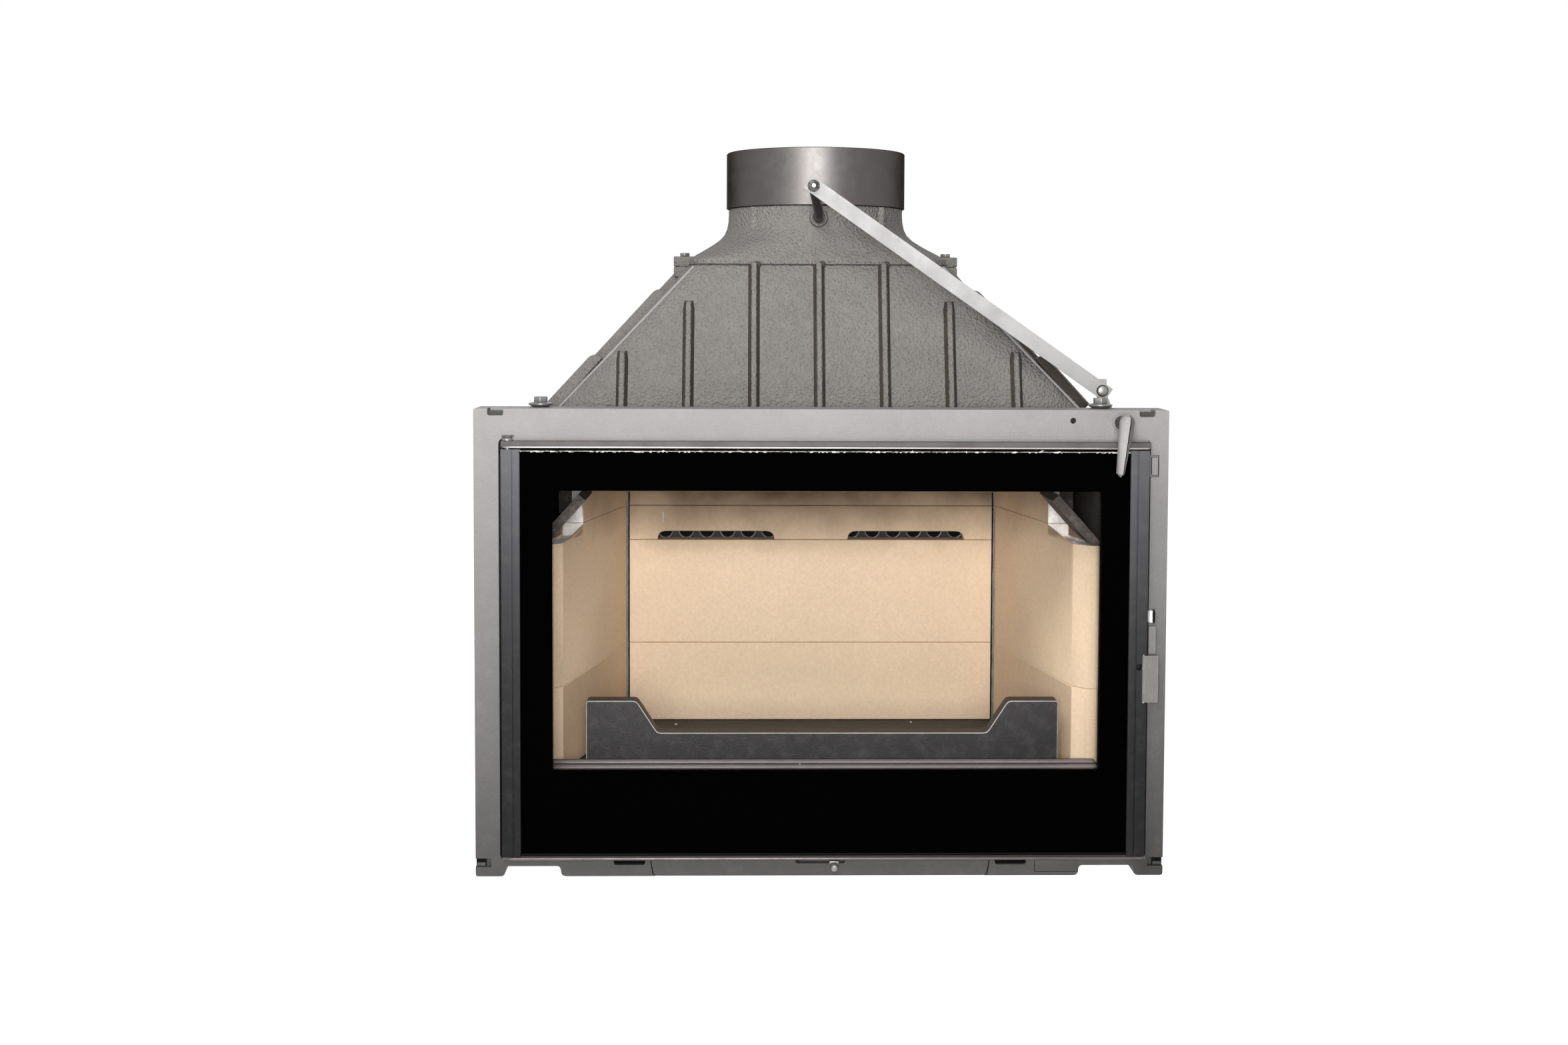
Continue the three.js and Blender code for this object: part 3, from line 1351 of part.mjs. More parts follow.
piece(firebox, 'hearth_plate', hearthPlate(), graphite);
piece(firebox, 'fire_grate', fireGrate(), graphite);
piece(firebox, 'ash_pan', ashPan(), doorSteel);
piece(firebox, 'sill_plate', sillPlate(), graphite);
piece(firebox, 'log_fender', logFender(), graphite);
piece(firebox, 'rear_air_manifold', airManifold(), doorSteel);
piece(firebox, 'back_brick_lower', backBrick([brickBottom, jointLow - seat]), fireclay);
piece(firebox, 'back_brick_middle', backBrick([jointLow, jointMiddle - seat]), fireclay);
piece(firebox, 'back_brick_slotted', slottedBackBrick([jointMiddle, jointHigh - seat]), fireclay);
piece(firebox, 'back_brick_top', backBrick([jointHigh, backBrickTop]), fireclay);
for (const [hand, side] of [['left', -1], ['right', 1]]) {
  piece(firebox, `${hand}_brick_lower`, sideBrick(side, [brickBottom, jointLow - seat]), fireclay);
  piece(firebox, `${hand}_brick_notched`, notchedSideBrick(side), fireclay);
  piece(firebox, `${hand}_brick_top`, topSideBrick(side), fireclay);
  piece(firebox, `${hand}_smoke_deflector`, smokeDeflector(side), graphite);
}
piece(firebox, 'baffle_plate', bafflePlate(), fireclay);

piece(door, 'top_hinge_rail', hingeRail(railTopZ - topRailHeight, railTopZ, false), railSteel);
piece(door, 'bottom_hinge_rail', hingeRail(railBottomZ, bottomRailTop, true), railSteel);
piece(door, 'top_hinge_pin', topHingePin(), doorSteel);
piece(door, 'bottom_hinge_pin', bottomHingePin(), doorSteel);
piece(door, 'door_left_stile', leftStile(), doorSteel);
piece(door, 'door_right_stile', rightStile(), doorSteel);
piece(door, 'door_top_bar', topBar(), doorSteel);
piece(door, 'door_bottom_bar', bottomBar(), doorSteel);
const glassSpan = [[leftGlassEdge, rightGlassEdge], [glassFront, glassBack], [glassBottom, glassTop]];
piece(door, 'door_glass', block(...glassSpan), ceramicGlass);
piece(door, 'glass_tape', glassTape(), rope);
piece(door, 'door_seal_rope', doorRope(), rope);
const latchPinSpan = [latchBottom - 5, latchTop + 5];
piece(door, 'latch_pin', rod('z', [latchX, latchAxisY], latchPinRadius, latchPinSpan, 16), chrome);
piece(door, 'latch_lever', latchLever(), leverIron);
piece(door, 'latch_keeper', latchKeeper(), leverIron);
piece(door, 'strike_pin', strikePin(), chrome);
piece(door, 'door_stop_pad', stopPad(), frameIron);

piece(linkage, 'control_handle', leverHandle(), leverIron);
piece(linkage, 'handle_shaft', handleShaft(), zinc);
piece(linkage, 'crank_plate', crankPlate(), zinc);
piece(linkage, 'link_pivot_bolt', linkPivotBolt(), zinc);
piece(linkage, 'damper_shaft', damperShaft(), doorSteel);
piece(linkage, 'damper_disc', damperDisc(), hoodIron);
piece(linkage, 'link_nut', linkNut(), zinc);

const barCarrier = new THREE.Group();
piece(barCarrier, 'link_bar', linkBar(), zinc);
barCarrier.position.set(leverX + crankX, linkY, leverZ + crankZ);
barCarrier.rotation.y = linkAngle;
linkage.add(barCarrier);

insert.add(castings, firebox, door, linkage);
insert.position.y = -(handleFront + bodyDepth) / 2;

export default insert;
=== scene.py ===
import json
import math
from functools import partial

import bmesh
import bpy
from mathutils import Matrix, Vector, noise


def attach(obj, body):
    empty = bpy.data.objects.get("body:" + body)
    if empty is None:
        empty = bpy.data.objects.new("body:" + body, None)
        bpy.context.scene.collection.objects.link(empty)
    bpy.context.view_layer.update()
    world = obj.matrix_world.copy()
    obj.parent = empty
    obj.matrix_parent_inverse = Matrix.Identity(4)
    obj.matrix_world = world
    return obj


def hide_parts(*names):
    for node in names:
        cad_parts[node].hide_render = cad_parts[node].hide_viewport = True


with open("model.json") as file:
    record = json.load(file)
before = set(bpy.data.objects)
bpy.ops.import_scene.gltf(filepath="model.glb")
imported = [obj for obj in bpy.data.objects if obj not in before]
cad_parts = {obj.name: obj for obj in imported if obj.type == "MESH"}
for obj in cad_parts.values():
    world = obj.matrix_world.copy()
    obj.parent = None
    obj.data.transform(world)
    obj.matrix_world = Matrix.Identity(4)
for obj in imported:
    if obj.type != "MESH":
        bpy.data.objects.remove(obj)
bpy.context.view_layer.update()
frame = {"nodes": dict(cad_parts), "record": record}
print("frame loaded")
noise.seed_set(1)  # without it noise_vector starts from the clock

# lengths below are in millimetres, with y counted backwards from the front plane of the cast frame
frontPlane = -203.5
flueDepth = 225
record = frame["record"]
bodyOfNode = {node: body for body, nodes in record["behaviour"]["bodies"].items() for node in nodes}
slotOfNode = {part["node"]: part["material_slot"] for part in record["subparts"]}


def newObject(name, data):
    thing = bpy.data.objects.new(name, data)
    bpy.context.scene.collection.objects.link(thing)
    return thing


def newMesh(bm, name):
    mesh = bpy.data.meshes.new(name)
    bm.to_mesh(mesh)
    bm.free()
    return mesh


# a group's socket is a number, a vector or a colour, as its value is
def newGroup(name, inputs, outputs):
    group = bpy.data.node_groups.new(name, "ShaderNodeTree")
    for label, value in inputs.items():
        kind = "Float" if isinstance(value, float) else "Vector" if len(value) == 3 else "Color"
        socket = group.interface.new_socket(name=label, in_out="INPUT", socket_type="NodeSocket" + kind)
        socket.default_value = value
    for label in outputs:
        kind = "NodeSocketColor" if label == "colour" else "NodeSocketFloat"
        group.interface.new_socket(name=label, in_out="OUTPUT", socket_type=kind)
    return group, group.nodes.new("NodeGroupInput").outputs, group.nodes.new("NodeGroupOutput").inputs


def addNode(tree, kind, settings=None, **sockets):
    node = tree.nodes.new("ShaderNode" + kind)
    for key, value in (settings or {}).items():
        setattr(node, key, value)
    for key, value in sockets.items():
        isNumbered = key.startswith("in") and key[2:].isdigit()
        socket = node.inputs[int(key[2:]) if isNumbered else key.replace("_", " ")]
        if isinstance(value, bpy.types.NodeSocket):
            tree.links.new(value, socket)
        else:
            socket.default_value = value
    return node


def mathNode(tree, operation, a, b=0.0, clamp=False):
    settings = {"operation": operation, "use_clamp": clamp}
    return addNode(tree, "Math", settings, in0=a, in1=b).outputs[0]


# the four rules of arithmetic as nodes of one tree
def arithmetic(tree):
    def rule(operation):
        return lambda a, b, clamp=False: mathNode(tree, operation, a, b, clamp)

    return [rule(name) for name in ("ADD", "SUBTRACT", "MULTIPLY", "DIVIDE")]


def vectorNode(tree, operation, a, **rest):
    return addNode(tree, "VectorMath", {"operation": operation}, in0=a, **rest).outputs


def objectPlace(tree):
    return addNode(tree, "TexCoord").outputs["Object"]


def splitAxes(tree, place):
    return addNode(tree, "SeparateXYZ", Vector=place).outputs


def noiseNode(tree, place, scale, detail, roughness=0.5):
    return addNode(tree, "TexNoise", Vector=place, Scale=scale, Detail=detail,
                   Roughness=roughness).outputs[0]


def mixColour(tree, mask, a, b):
    return addNode(tree, "Mix", {"data_type": "RGBA"}, in0=mask, in6=a, in7=b).outputs[2]


def rampNode(tree, value, stops):
    node = addNode(tree, "ValToRGB", Fac=value)
    for element, (place, grey) in zip(node.color_ramp.elements, stops):
        element.position = place
        element.color = (grey, grey, grey, 1)
    return node.outputs["Color"]


# painted shade: the frame's tone falls towards its foot, and more so on its right side
frameShade = {"height": 0.476, "right": 0.29, "blend": 0.04}


def makeCastGroup():
    # cast surface: broad tone changes, fine grain, painted shade towards the foot and on the right side,
    # and the height that makes its orange peel
    group, given, result = newGroup(
        "castSurface", {"colour": (0.2, 0.2, 0.2, 1), "roughness": 0.5, "mottle": 0.3, "grainSize": 900.0,
                        "grainDepth": 0.7, "dust": 0.05, "footTone": 1.0, "footPower": 1.0,
                        "rightShade": 0.0}, ("colour", "roughness", "height"))
    add, subtract, multiply, divide = arithmetic(group)
    place = objectPlace(group)
    axes = splitAxes(group, place)
    rise = mathNode(group, "POWER", divide(axes["Z"], frameShade["height"], True), given["footPower"])
    atRight = divide(subtract(axes["X"], frameShade["right"]), frameShade["blend"], True)
    footTone = add(given["footTone"], multiply(rise, subtract(1.0, given["footTone"])))
    rightShade = multiply(multiply(atRight, given["rightShade"]), subtract(1.0, rise))
    broad = noiseNode(group, place, 9.0, 5.0, 0.6)
    middle = noiseNode(group, place, 60.0, 4.0, 0.7)
    grain = noiseNode(group, place, given["grainSize"], 3.0, 0.6)
    cells = addNode(group, "TexVoronoi", {"feature": "SMOOTH_F1"}, Vector=place,
                    Scale=given["grainSize"]).outputs["Distance"]
    swing = subtract(add(multiply(broad, 0.6), multiply(middle, 0.4)), 0.5)
    factor = add(multiply(multiply(swing, 4.0), given["mottle"]), 1.0)
    fine = add(multiply(subtract(grain, 0.5), 0.25), 1.0)
    tone = multiply(multiply(factor, fine), multiply(footTone, subtract(1.0, rightShade)))
    scaled = vectorNode(group, "SCALE", given["colour"], Scale=tone)[0]
    dustMask = multiply(rampNode(group, middle, [(0.5, 0), (0.72, 1)]), given["dust"])
    group.links.new(mixColour(group, dustMask, scaled, (0.42, 0.38, 0.34, 1)), result["colour"])
    polish = add(given["roughness"], multiply(subtract(middle, 0.5), 0.25), True)
    group.links.new(polish, result["roughness"])
    bumps = add(multiply(cells, 0.7), multiply(grain, 0.5))
    group.links.new(multiply(bumps, given["grainDepth"]), result["height"])
    return group


def makeBrushedGroup():
    # drawn or rolled steel: fine streaks along one axis
    group, given, result = newGroup(
        "brushedSteel",
        {"colour": (0.5, 0.5, 0.5, 1), "roughness": 0.5, "stretch": (1, 1, 1), "stain": 0.2},
        ("colour", "roughness", "height"))
    add, subtract, multiply, _ = arithmetic(group)
    place = objectPlace(group)
    streak = noiseNode(group, vectorNode(group, "MULTIPLY", place, in1=given["stretch"])[0], 900.0, 3.0)
    blot = noiseNode(group, place, 35.0, 5.0, 0.65)
    shade = add(multiply(subtract(streak, 0.5), 0.18), 1.0)
    worn = subtract(shade, multiply(rampNode(group, blot, [(0.48, 0), (0.7, 1)]), given["stain"]))
    group.links.new(vectorNode(group, "SCALE", given["colour"], Scale=worn)[0], result["colour"])
    group.links.new(add(given["roughness"], multiply(subtract(blot, 0.5), 0.4), True), result["roughness"])
    group.links.new(multiply(streak, 0.3), result["height"])
    return group


def makeUpwardDarkenGroup():
    # darkens a surface upwards from one height to another, broken up with noise
    group, given, result = newGroup(
        "darkenUpwards", {"colour": (0.5, 0.5, 0.5, 1), "soot": (0.03, 0.025, 0.02, 1), "low": 0.3, "high": 0.4,
                     "amount": 0.6}, ("colour",))
    add, subtract, multiply, divide = arithmetic(group)
    place = objectPlace(group)
    uneven = multiply(subtract(noiseNode(group, place, 14.0, 4.0), 0.5), 0.06)
    ragged = add(splitAxes(group, place)["Z"], uneven)
    rise = divide(subtract(ragged, given["low"]), subtract(given["high"], given["low"]), True)
    mask = multiply(rise, given["amount"], True)
    group.links.new(mixColour(group, mask, given["colour"], given["soot"]), result["colour"])
    return group


def makeWearAndSheenGroup():
    # a mask along edges, where the iron turns lighter: partly wear from handling and heat, partly a painted
    # edge highlight
    group, given, result = newGroup("edgeWearAndSheen", {"width": 0.0012, "gain": 3.0}, ("mask",))
    _, subtract, multiply, _ = arithmetic(group)
    rounded = addNode(group, "Bevel", {"samples": 4}, Radius=given["width"]).outputs["Normal"]
    flat = addNode(group, "NewGeometry").outputs["Normal"]
    likeness = vectorNode(group, "DOT_PRODUCT", rounded, in1=flat)["Value"]
    edge = multiply(subtract(1.0, likeness), given["gain"], True)
    patchy = noiseNode(group, objectPlace(group), 90.0, 4.0, 0.7)
    group.links.new(multiply(edge, rampNode(group, patchy, [(0.3, 0.25), (0.62, 1)])), result["mask"])
    return group


wearGroup = makeWearAndSheenGroup()
castGroup = makeCastGroup()
brushedGroup = makeBrushedGroup()
upwardDarkenGroup = makeUpwardDarkenGroup()


def newMaterial(name, **settings):
    material = bpy.data.materials.new(name)
    material.use_nodes = True
    shader = material.node_tree.nodes["Principled BSDF"]
    for key, value in settings.items():
        shader.inputs[key.replace("_", " ")].default_value = value
    return material, material.node_tree, shader


def bumpFrom(tree, shader, height, distance):
    bump = addNode(tree, "Bump", Height=height, Distance=distance, Strength=1.0)
    tree.links.new(bump.outputs["Normal"], shader.inputs["Normal"])


def groupNode(tree, group, **given):
    return addNode(tree, "Group", {"node_tree": group}, **given).outputs


# a finish on one of the surface groups, with darkening that rises over it and lighter edges, partly wear
# and partly painted highlight, where they are given
def surfaceMaterial(group, name, colour, bump, metallic=0.0, specular=0.5, edgeTint=1.0, soot=None,
                    wear=None, wornTone=None, **look):
    material, tree, shader = newMaterial(name, Metallic=metallic, Specular_IOR_Level=specular,
                                         Specular_Tint=(edgeTint, edgeTint, edgeTint, 1))
    surface = groupNode(tree, group, colour=(*colour, 1), **look)
    tone = surface["colour"]
    if soot:
        tone = groupNode(tree, upwardDarkenGroup, colour=tone, **soot)[0]
    if wear:
        tone = mixColour(tree, groupNode(tree, wearGroup, gain=wear)[0], tone, (*wornTone, 1))
    tree.links.new(tone, shader.inputs["Base Color"])
    tree.links.new(surface["roughness"], shader.inputs["Roughness"])
    bumpFrom(tree, shader, surface["height"], bump)
    return material


castMaterial = partial(surfaceMaterial, castGroup)
steelMaterial = partial(surfaceMaterial, brushedGroup)

# painted shade: the frame is darkened towards its foot and on its right side
frameIron = castMaterial(
    "frameIron", (0.215, 0.208, 0.204), 0.0005, mottle=0.12, grainDepth=0.6, dust=0.03, footTone=0.24,
    rightShade=0.42, specular=0.2)
# a dark iron used as painted shade on pocket floors, and as the colour of cement crumbs
crumbAndPocketShadeIron = castMaterial(
    "crumbAndPocketShadeIron", (0.05, 0.05, 0.045), 0.0004, roughness=0.7, grainSize=500, grainDepth=1.0, dust=0.1,
    specular=0.1)
hoodIron = castMaterial(
    "hoodIron", (0.148, 0.141, 0.132), 0.003, roughness=0.55, mottle=0.13, grainSize=420, grainDepth=1.0,
    dust=0.03, specular=0.12)
# a darker iron painted on rib flanks as shade
ribFlankShade = castMaterial(
    "ribFlankShade", (0.042, 0.034, 0.029), 0.0006, roughness=0.6, mottle=0.35, grainSize=420, grainDepth=0.9,
    dust=0.02, specular=0.12)
bodyIron = castMaterial(
    "bodyIron", (0.13, 0.124, 0.118), 0.0006, roughness=0.52, mottle=0.24, grainSize=420, grainDepth=0.9,
    dust=0.06, specular=0.25)
collarSteel = castMaterial(
    "collarSteel", (0.105, 0.098, 0.095), 0.00012, roughness=0.42, metallic=1.0, mottle=0.12,
    grainSize=1300, grainDepth=0.3, dust=0.0, edgeTint=0.1)
# painted shade: the door's stiles are darkened steeply towards their foot
doorPaint = castMaterial(
    "doorPaint", (0.11, 0.11, 0.116), 0.0001, mottle=0.14, grainSize=1500, grainDepth=0.4, dust=0.02,
    footTone=0.07, footPower=3.0, specular=0.1)
# near black, used as painted shade in gaps, slots, seams and on parts that lie in shade
barPaint = castMaterial(
    "barPaint", (0.004, 0.0038, 0.004), 0.0001, mottle=0.2, grainDepth=0.4, dust=0.0, specular=0.03)
latchIron = castMaterial(
    "latchIron", (0.135, 0.13, 0.126), 0.0003, mottle=0.25, grainSize=1400, grainDepth=1.2, dust=0.0,
    specular=0.25, wear=2.0, wornTone=(0.4, 0.39, 0.38))
leverIron = castMaterial(
    "leverIron", (0.26, 0.25, 0.246), 0.0004, roughness=0.46, grainSize=1400, grainDepth=1.4, dust=0.0,
    specular=0.35, wear=2.5, wornTone=(0.42, 0.41, 0.4))
graphiteIron = castMaterial(
    "graphiteIron", (0.02, 0.0185, 0.019), 0.0003, grainSize=700, specular=0.25, wear=4.0,
    wornTone=(0.34, 0.32, 0.31))
sillIron = castMaterial("sillIron", (0.23, 0.2, 0.2), 0.0003, grainSize=700, specular=0.25)
deflectorIron = castMaterial(
    "deflectorIron", (0.065, 0.053, 0.047), 0.0006, roughness=0.65, mottle=0.6, grainSize=500,
    grainDepth=1.2, dust=0.25, specular=0.15, wear=2.5, wornTone=(0.3, 0.25, 0.2))
brick = {"roughness": 0.88, "grainSize": 260, "dust": 0.04, "specular": 0.15}
# the bricks darken towards the top of the firebox
fireclay = castMaterial("fireclay", (0.73, 0.56, 0.39), 0.0004, mottle=0.08, **brick, soot={
    "soot": (0.06, 0.034, 0.016, 1), "low": 0.31, "high": 0.42, "amount": 0.8})
backFireclay = castMaterial("backFireclay", (0.8, 0.62, 0.44), 0.0004, mottle=0.06, **brick, soot={
    "soot": (0.055, 0.03, 0.013, 1), "low": 0.288, "high": 0.368, "amount": 0.93})
edgeHighlightIron = castMaterial(
    "edgeHighlightIron", (0.36, 0.34, 0.33), 0.0003, roughness=0.55, mottle=0.5, grainSize=700, grainDepth=1.0,
    specular=0.2)
# pale as fresh broken clay, and brightened further as painted light where the notches lie in shade
cutAndLitFireclay = castMaterial(
    "cutAndLitFireclay", (0.92, 0.88, 0.84), 0.0012, roughness=0.95, grainSize=220, grainDepth=1.5,
    specular=0.1)
mortar = castMaterial(
    "mortar", (0.21, 0.19, 0.175), 0.0009, roughness=0.95, mottle=0.5, grainSize=500, grainDepth=1.5,
    dust=0.2, specular=0.1)
ropeWhite = castMaterial(
    "ropeWhite", (0.6, 0.585, 0.56), 0.0008, roughness=0.95, grainDepth=1.5, dust=0.1, specular=0.1)
zinc = steelMaterial("zinc", (0.205, 0.202, 0.2), 0.00008, metallic=0.4, stain=0.06)
railSteel = steelMaterial("railSteel", (0.075, 0.07, 0.067), 0.00005, stretch=(0.02, 1, 1), specular=0.15)
railHighlight = steelMaterial(
    "railHighlight", (0.36, 0.335, 0.33), 0.00005, roughness=0.34, metallic=0.8, stretch=(0.02, 1, 1),
    stain=0.25)
lowEdge = steelMaterial(
    "lowEdge", (0.1, 0.084, 0.084), 0.00005, roughness=0.36, metallic=0.8, stretch=(0.02, 1, 1),
    stain=0.3)
boltSteel = steelMaterial("boltSteel", (0.2, 0.195, 0.19), 0.00005, roughness=0.32, metallic=0.6)
rodSteel = steelMaterial(
    "rodSteel", (0.06, 0.055, 0.053), 0.00004, roughness=0.27, metallic=0.8, stretch=(1, 0.05, 1),
    stain=0.3)
chrome = steelMaterial(
    "chrome", (0.6, 0.6, 0.6), 0.00001, roughness=0.14, metallic=0.35, stretch=(1, 1, 0.05), stain=0.05)


def makeJointCement():
    material, tree, shader = newMaterial("jointCement", Roughness=0.9)
    crumbs = noiseNode(tree, objectPlace(tree), 260.0, 5.0)
    tone = mixColour(tree, crumbs, (0.012, 0.011, 0.011, 1), (0.06, 0.055, 0.05, 1))
    tree.links.new(tone, shader.inputs["Base Color"])
    bumpFrom(tree, shader, crumbs, 0.0012)
    return material


def makeClearPane():
    material, tree, shader = newMaterial("clearPane", Alpha=0.03, Base_Color=(0.002, 0.002, 0.002, 1),
                                         Specular_IOR_Level=0.06)
    haze = noiseNode(tree, objectPlace(tree), 6.0, 3.0)
    add, _, multiply, _ = arithmetic(tree)
    tree.links.new(add(multiply(haze, 0.06), 0.02), shader.inputs["Roughness"])
    return material


def makeEnamel(name, dotted):
    # where dotted, the enamel runs out into rows of dots towards the middle of the window
    black = (0.0005, 0.0005, 0.0005, 1)
    material, tree, shader = newMaterial(name, Base_Color=black, Specular_IOR_Level=0.0)
    add, subtract, multiply, divide = arithmetic(tree)
    place = objectPlace(tree)
    smear = noiseNode(tree, place, 8.0, 2.0)
    tree.links.new(add(multiply(smear, 0.1), 0.1), shader.inputs["Roughness"])
    if not dotted:
        return material
    axes = splitAxes(tree, place)
    fromLeft = divide(subtract(axes["X"], window["left"] / 1000), window["leftFade"] / 1000)
    fromRight = divide(subtract(window["right"] / 1000, axes["X"]), window["rightFade"] / 1000)
    fade = subtract(1.0, mathNode(tree, "MINIMUM", fromLeft, fromRight), True)
    parts = []
    for axis in ("X", "Z"):
        part = mathNode(tree, "FRACT", divide(axes[axis], window["dot"] / 1000))
        parts.append(mathNode(tree, "POWER", mathNode(tree, "ABSOLUTE", subtract(part, 0.5)), 2.0))
    reach = mathNode(tree, "SQRT", add(*parts))
    tree.links.new(mathNode(tree, "LESS_THAN", reach, multiply(fade, 0.78)), shader.inputs["Alpha"])
    return material


# the clear window, its strips of dots, and the glass's front and back
window = {"left": -271.5, "right": 284, "low": 110, "high": 393.8, "leftFade": 2.5, "rightFade": 9,
          "dot": 1.3, "front": -4.9, "back": -1.3}
jointCement = makeJointCement()
clearPane = makeClearPane()
borderEnamel = makeEnamel("borderEnamel", False)
dottedEnamel = makeEnamel("dottedEnamel", True)
print("materials made")


def finishPiece(bm, name, material, slot, hides=None, body="insert_body", bevel=0.0, segments=2, smooth=32,
                fromCad=False, highlightSlot=-1):
    if not fromCad:
        bmesh.ops.translate(bm, vec=(0, frontPlane, 0), verts=bm.verts)
        bmesh.ops.scale(bm, vec=(0.001, 0.001, 0.001), verts=bm.verts)
        bmesh.ops.recalc_face_normals(bm, faces=bm.faces)
    for face in bm.faces:
        face.smooth = True
    for edge in bm.edges:
        edge.smooth = len(edge.link_faces) == 2 and edge.calc_face_angle(0) < math.radians(smooth)
    mesh = newMesh(bm, name)
    piece = newObject(name, mesh)
    for finish in material if isinstance(material, list) else [material]:
        mesh.materials.append(finish)
    if bevel:
        rounding = piece.modifiers.new("edges", "BEVEL")
        rounding.width = bevel / 1000
        rounding.segments = segments
        rounding.limit_method = "ANGLE"
        rounding.angle_limit = math.radians(smooth + 2)
        rounding.miter_outer = "MITER_ARC"
        rounding.harden_normals = True
        rounding.material = highlightSlot
    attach(piece, body)
    if hides:
        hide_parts(hides)
    return piece


# smooth noise at a place, for what is uneven
def wobble(*place):
    return noise.noise(Vector(place))


# roughens the faces that a test picks and gives them the piece's second material
def breakFaces(bm, picks, depth=0.003, rounds=4):
    faces = [face for face in bm.faces if picks(face)]
    for face in faces:
        face.material_index = 1
    bmesh.ops.triangulate(bm, faces=faces)
    for _ in range(rounds):
        edges = list({edge for face in bm.faces if face.material_index == 1 for edge in face.edges})
        bmesh.ops.subdivide_edges(bm, edges=edges, cuts=1, use_grid_fill=True)
    bm.normal_update()
    for vert in bm.verts:
        if vert.link_faces and all(face.material_index == 1 for face in vert.link_faces):
            vert.co -= vert.normal * depth * (0.5 + noise.fractal(vert.co * 70, 0.7, 2.1, 5))


# copies of CAD nodes, with their triangles merged into faces and their edges rounded
def dressNode(nodes, material, bevel=0.8, segments=2, smooth=32, dissolve=0.6, broken=None, highlightSlot=-1):
    for node in nodes.split():
        bm = bmesh.new()
        bm.from_mesh(frame["nodes"][node].data)
        bmesh.ops.remove_doubles(bm, verts=bm.verts, dist=2e-6)
        if dissolve:
            bmesh.ops.dissolve_limit(bm, angle_limit=math.radians(dissolve), verts=bm.verts, edges=bm.edges)
        bmesh.ops.dissolve_degenerate(bm, dist=2e-5, edges=bm.edges)
        if broken:
            breakFaces(bm, broken)
        name = node.title().replace("_", "") + "Finished"
        piece = finishPiece(bm, name, material, slotOfNode[node], node, bodyOfNode[node], bevel, segments,
                            smooth, True, highlightSlot)
    return piece


def roundEdges(bm, verts, width, segments=2):
    bmesh.ops.bevel(bm, geom=list({edge for vert in verts for edge in vert.link_edges}), offset=width,
                    segments=segments, profile=0.5, affect="EDGES", material=-1)


def roundedBox(bm, low, high, bevel=0.0, segments=2):
    size = Vector(high) - Vector(low)
    place = Matrix.Translation((Vector(high) + Vector(low)) / 2) @ Matrix.Diagonal((*size, 1))
    verts = bmesh.ops.create_cube(bm, size=1, matrix=place)["verts"]
    if bevel:
        roundEdges(bm, verts, bevel, segments)


# one box on each side of the middle
def boxPair(bm, low, high, bevel=0.0, segments=2):
    for sign in (-1, 1):
        near, far = sorted((sign * low[0], sign * high[0]))
        roundedBox(bm, (near, *low[1:]), (far, *high[1:]), bevel, segments)


def boxPiece(name, material, slot, boxes, addBox=roundedBox, **finish):
    bm = bmesh.new()
    for box in boxes:
        addBox(bm, *box)
    finishPiece(bm, name, material, slot, **finish)


# turns a profile of (radius, height) points about an axis through a centre
def turned(bm, profile, centre, axis, segments=64):
    direction = Vector(axis).normalized()
    side = direction.orthogonal().normalized()
    verts = [bm.verts.new(Vector(centre) + side * out + direction * up) for out, up in profile]
    edges = [bm.edges.new(pair) for pair in zip(verts, verts[1:])]
    bmesh.ops.spin(bm, geom=verts + edges, cent=centre, axis=direction, angle=2 * math.pi, steps=segments,
                   use_merge=True)
    bmesh.ops.remove_doubles(bm, verts=bm.verts, dist=1e-4)


def turnedPiece(name, material, slot, profile, centre, axis, segments, **finish):
    bm = bmesh.new()
    turned(bm, profile, centre, axis, segments)
    finishPiece(bm, name, material, slot, **finish)


def edgesAmong(bm, verts):
    chosen = set(verts)
    return [edge for edge in bm.edges if chosen.issuperset(edge.verts)]


# a closed ring of points on a rounded rectangle round the flue's axis, one for each angle
def flueLoop(bm, height, halfWidth, halfDepth, radius, segments=128):
    radius = min(radius, halfWidth, halfDepth)
    cornerX, cornerY = halfWidth - radius, halfDepth - radius
    verts = bmesh.ops.create_circle(bm, segments=segments, radius=1)["verts"]
    for vert in verts:
        x, y = abs(vert.co.x), abs(vert.co.y)
        reach = min(halfWidth / max(x, 1e-9), halfDepth / max(y, 1e-9))
        if reach * x > cornerX and reach * y > cornerY:
            along = x * cornerX + y * cornerY
            reach = along + math.sqrt(max(along * along - cornerX ** 2 - cornerY ** 2 + radius ** 2, 0))
        vert.co = (vert.co.x * reach, flueDepth + vert.co.y * reach, height)
    return edgesAmong(bm, verts)


# skins rings one after another and closes the last one to the first
def skinLoops(bm, specs, segments=128):
    loops = [flueLoop(bm, *spec, segments=segments) for spec in specs]
    for lower, upper in zip(loops, loops[1:] + loops[:1]):
        bmesh.ops.bridge_loops(bm, edges=lower + upper)


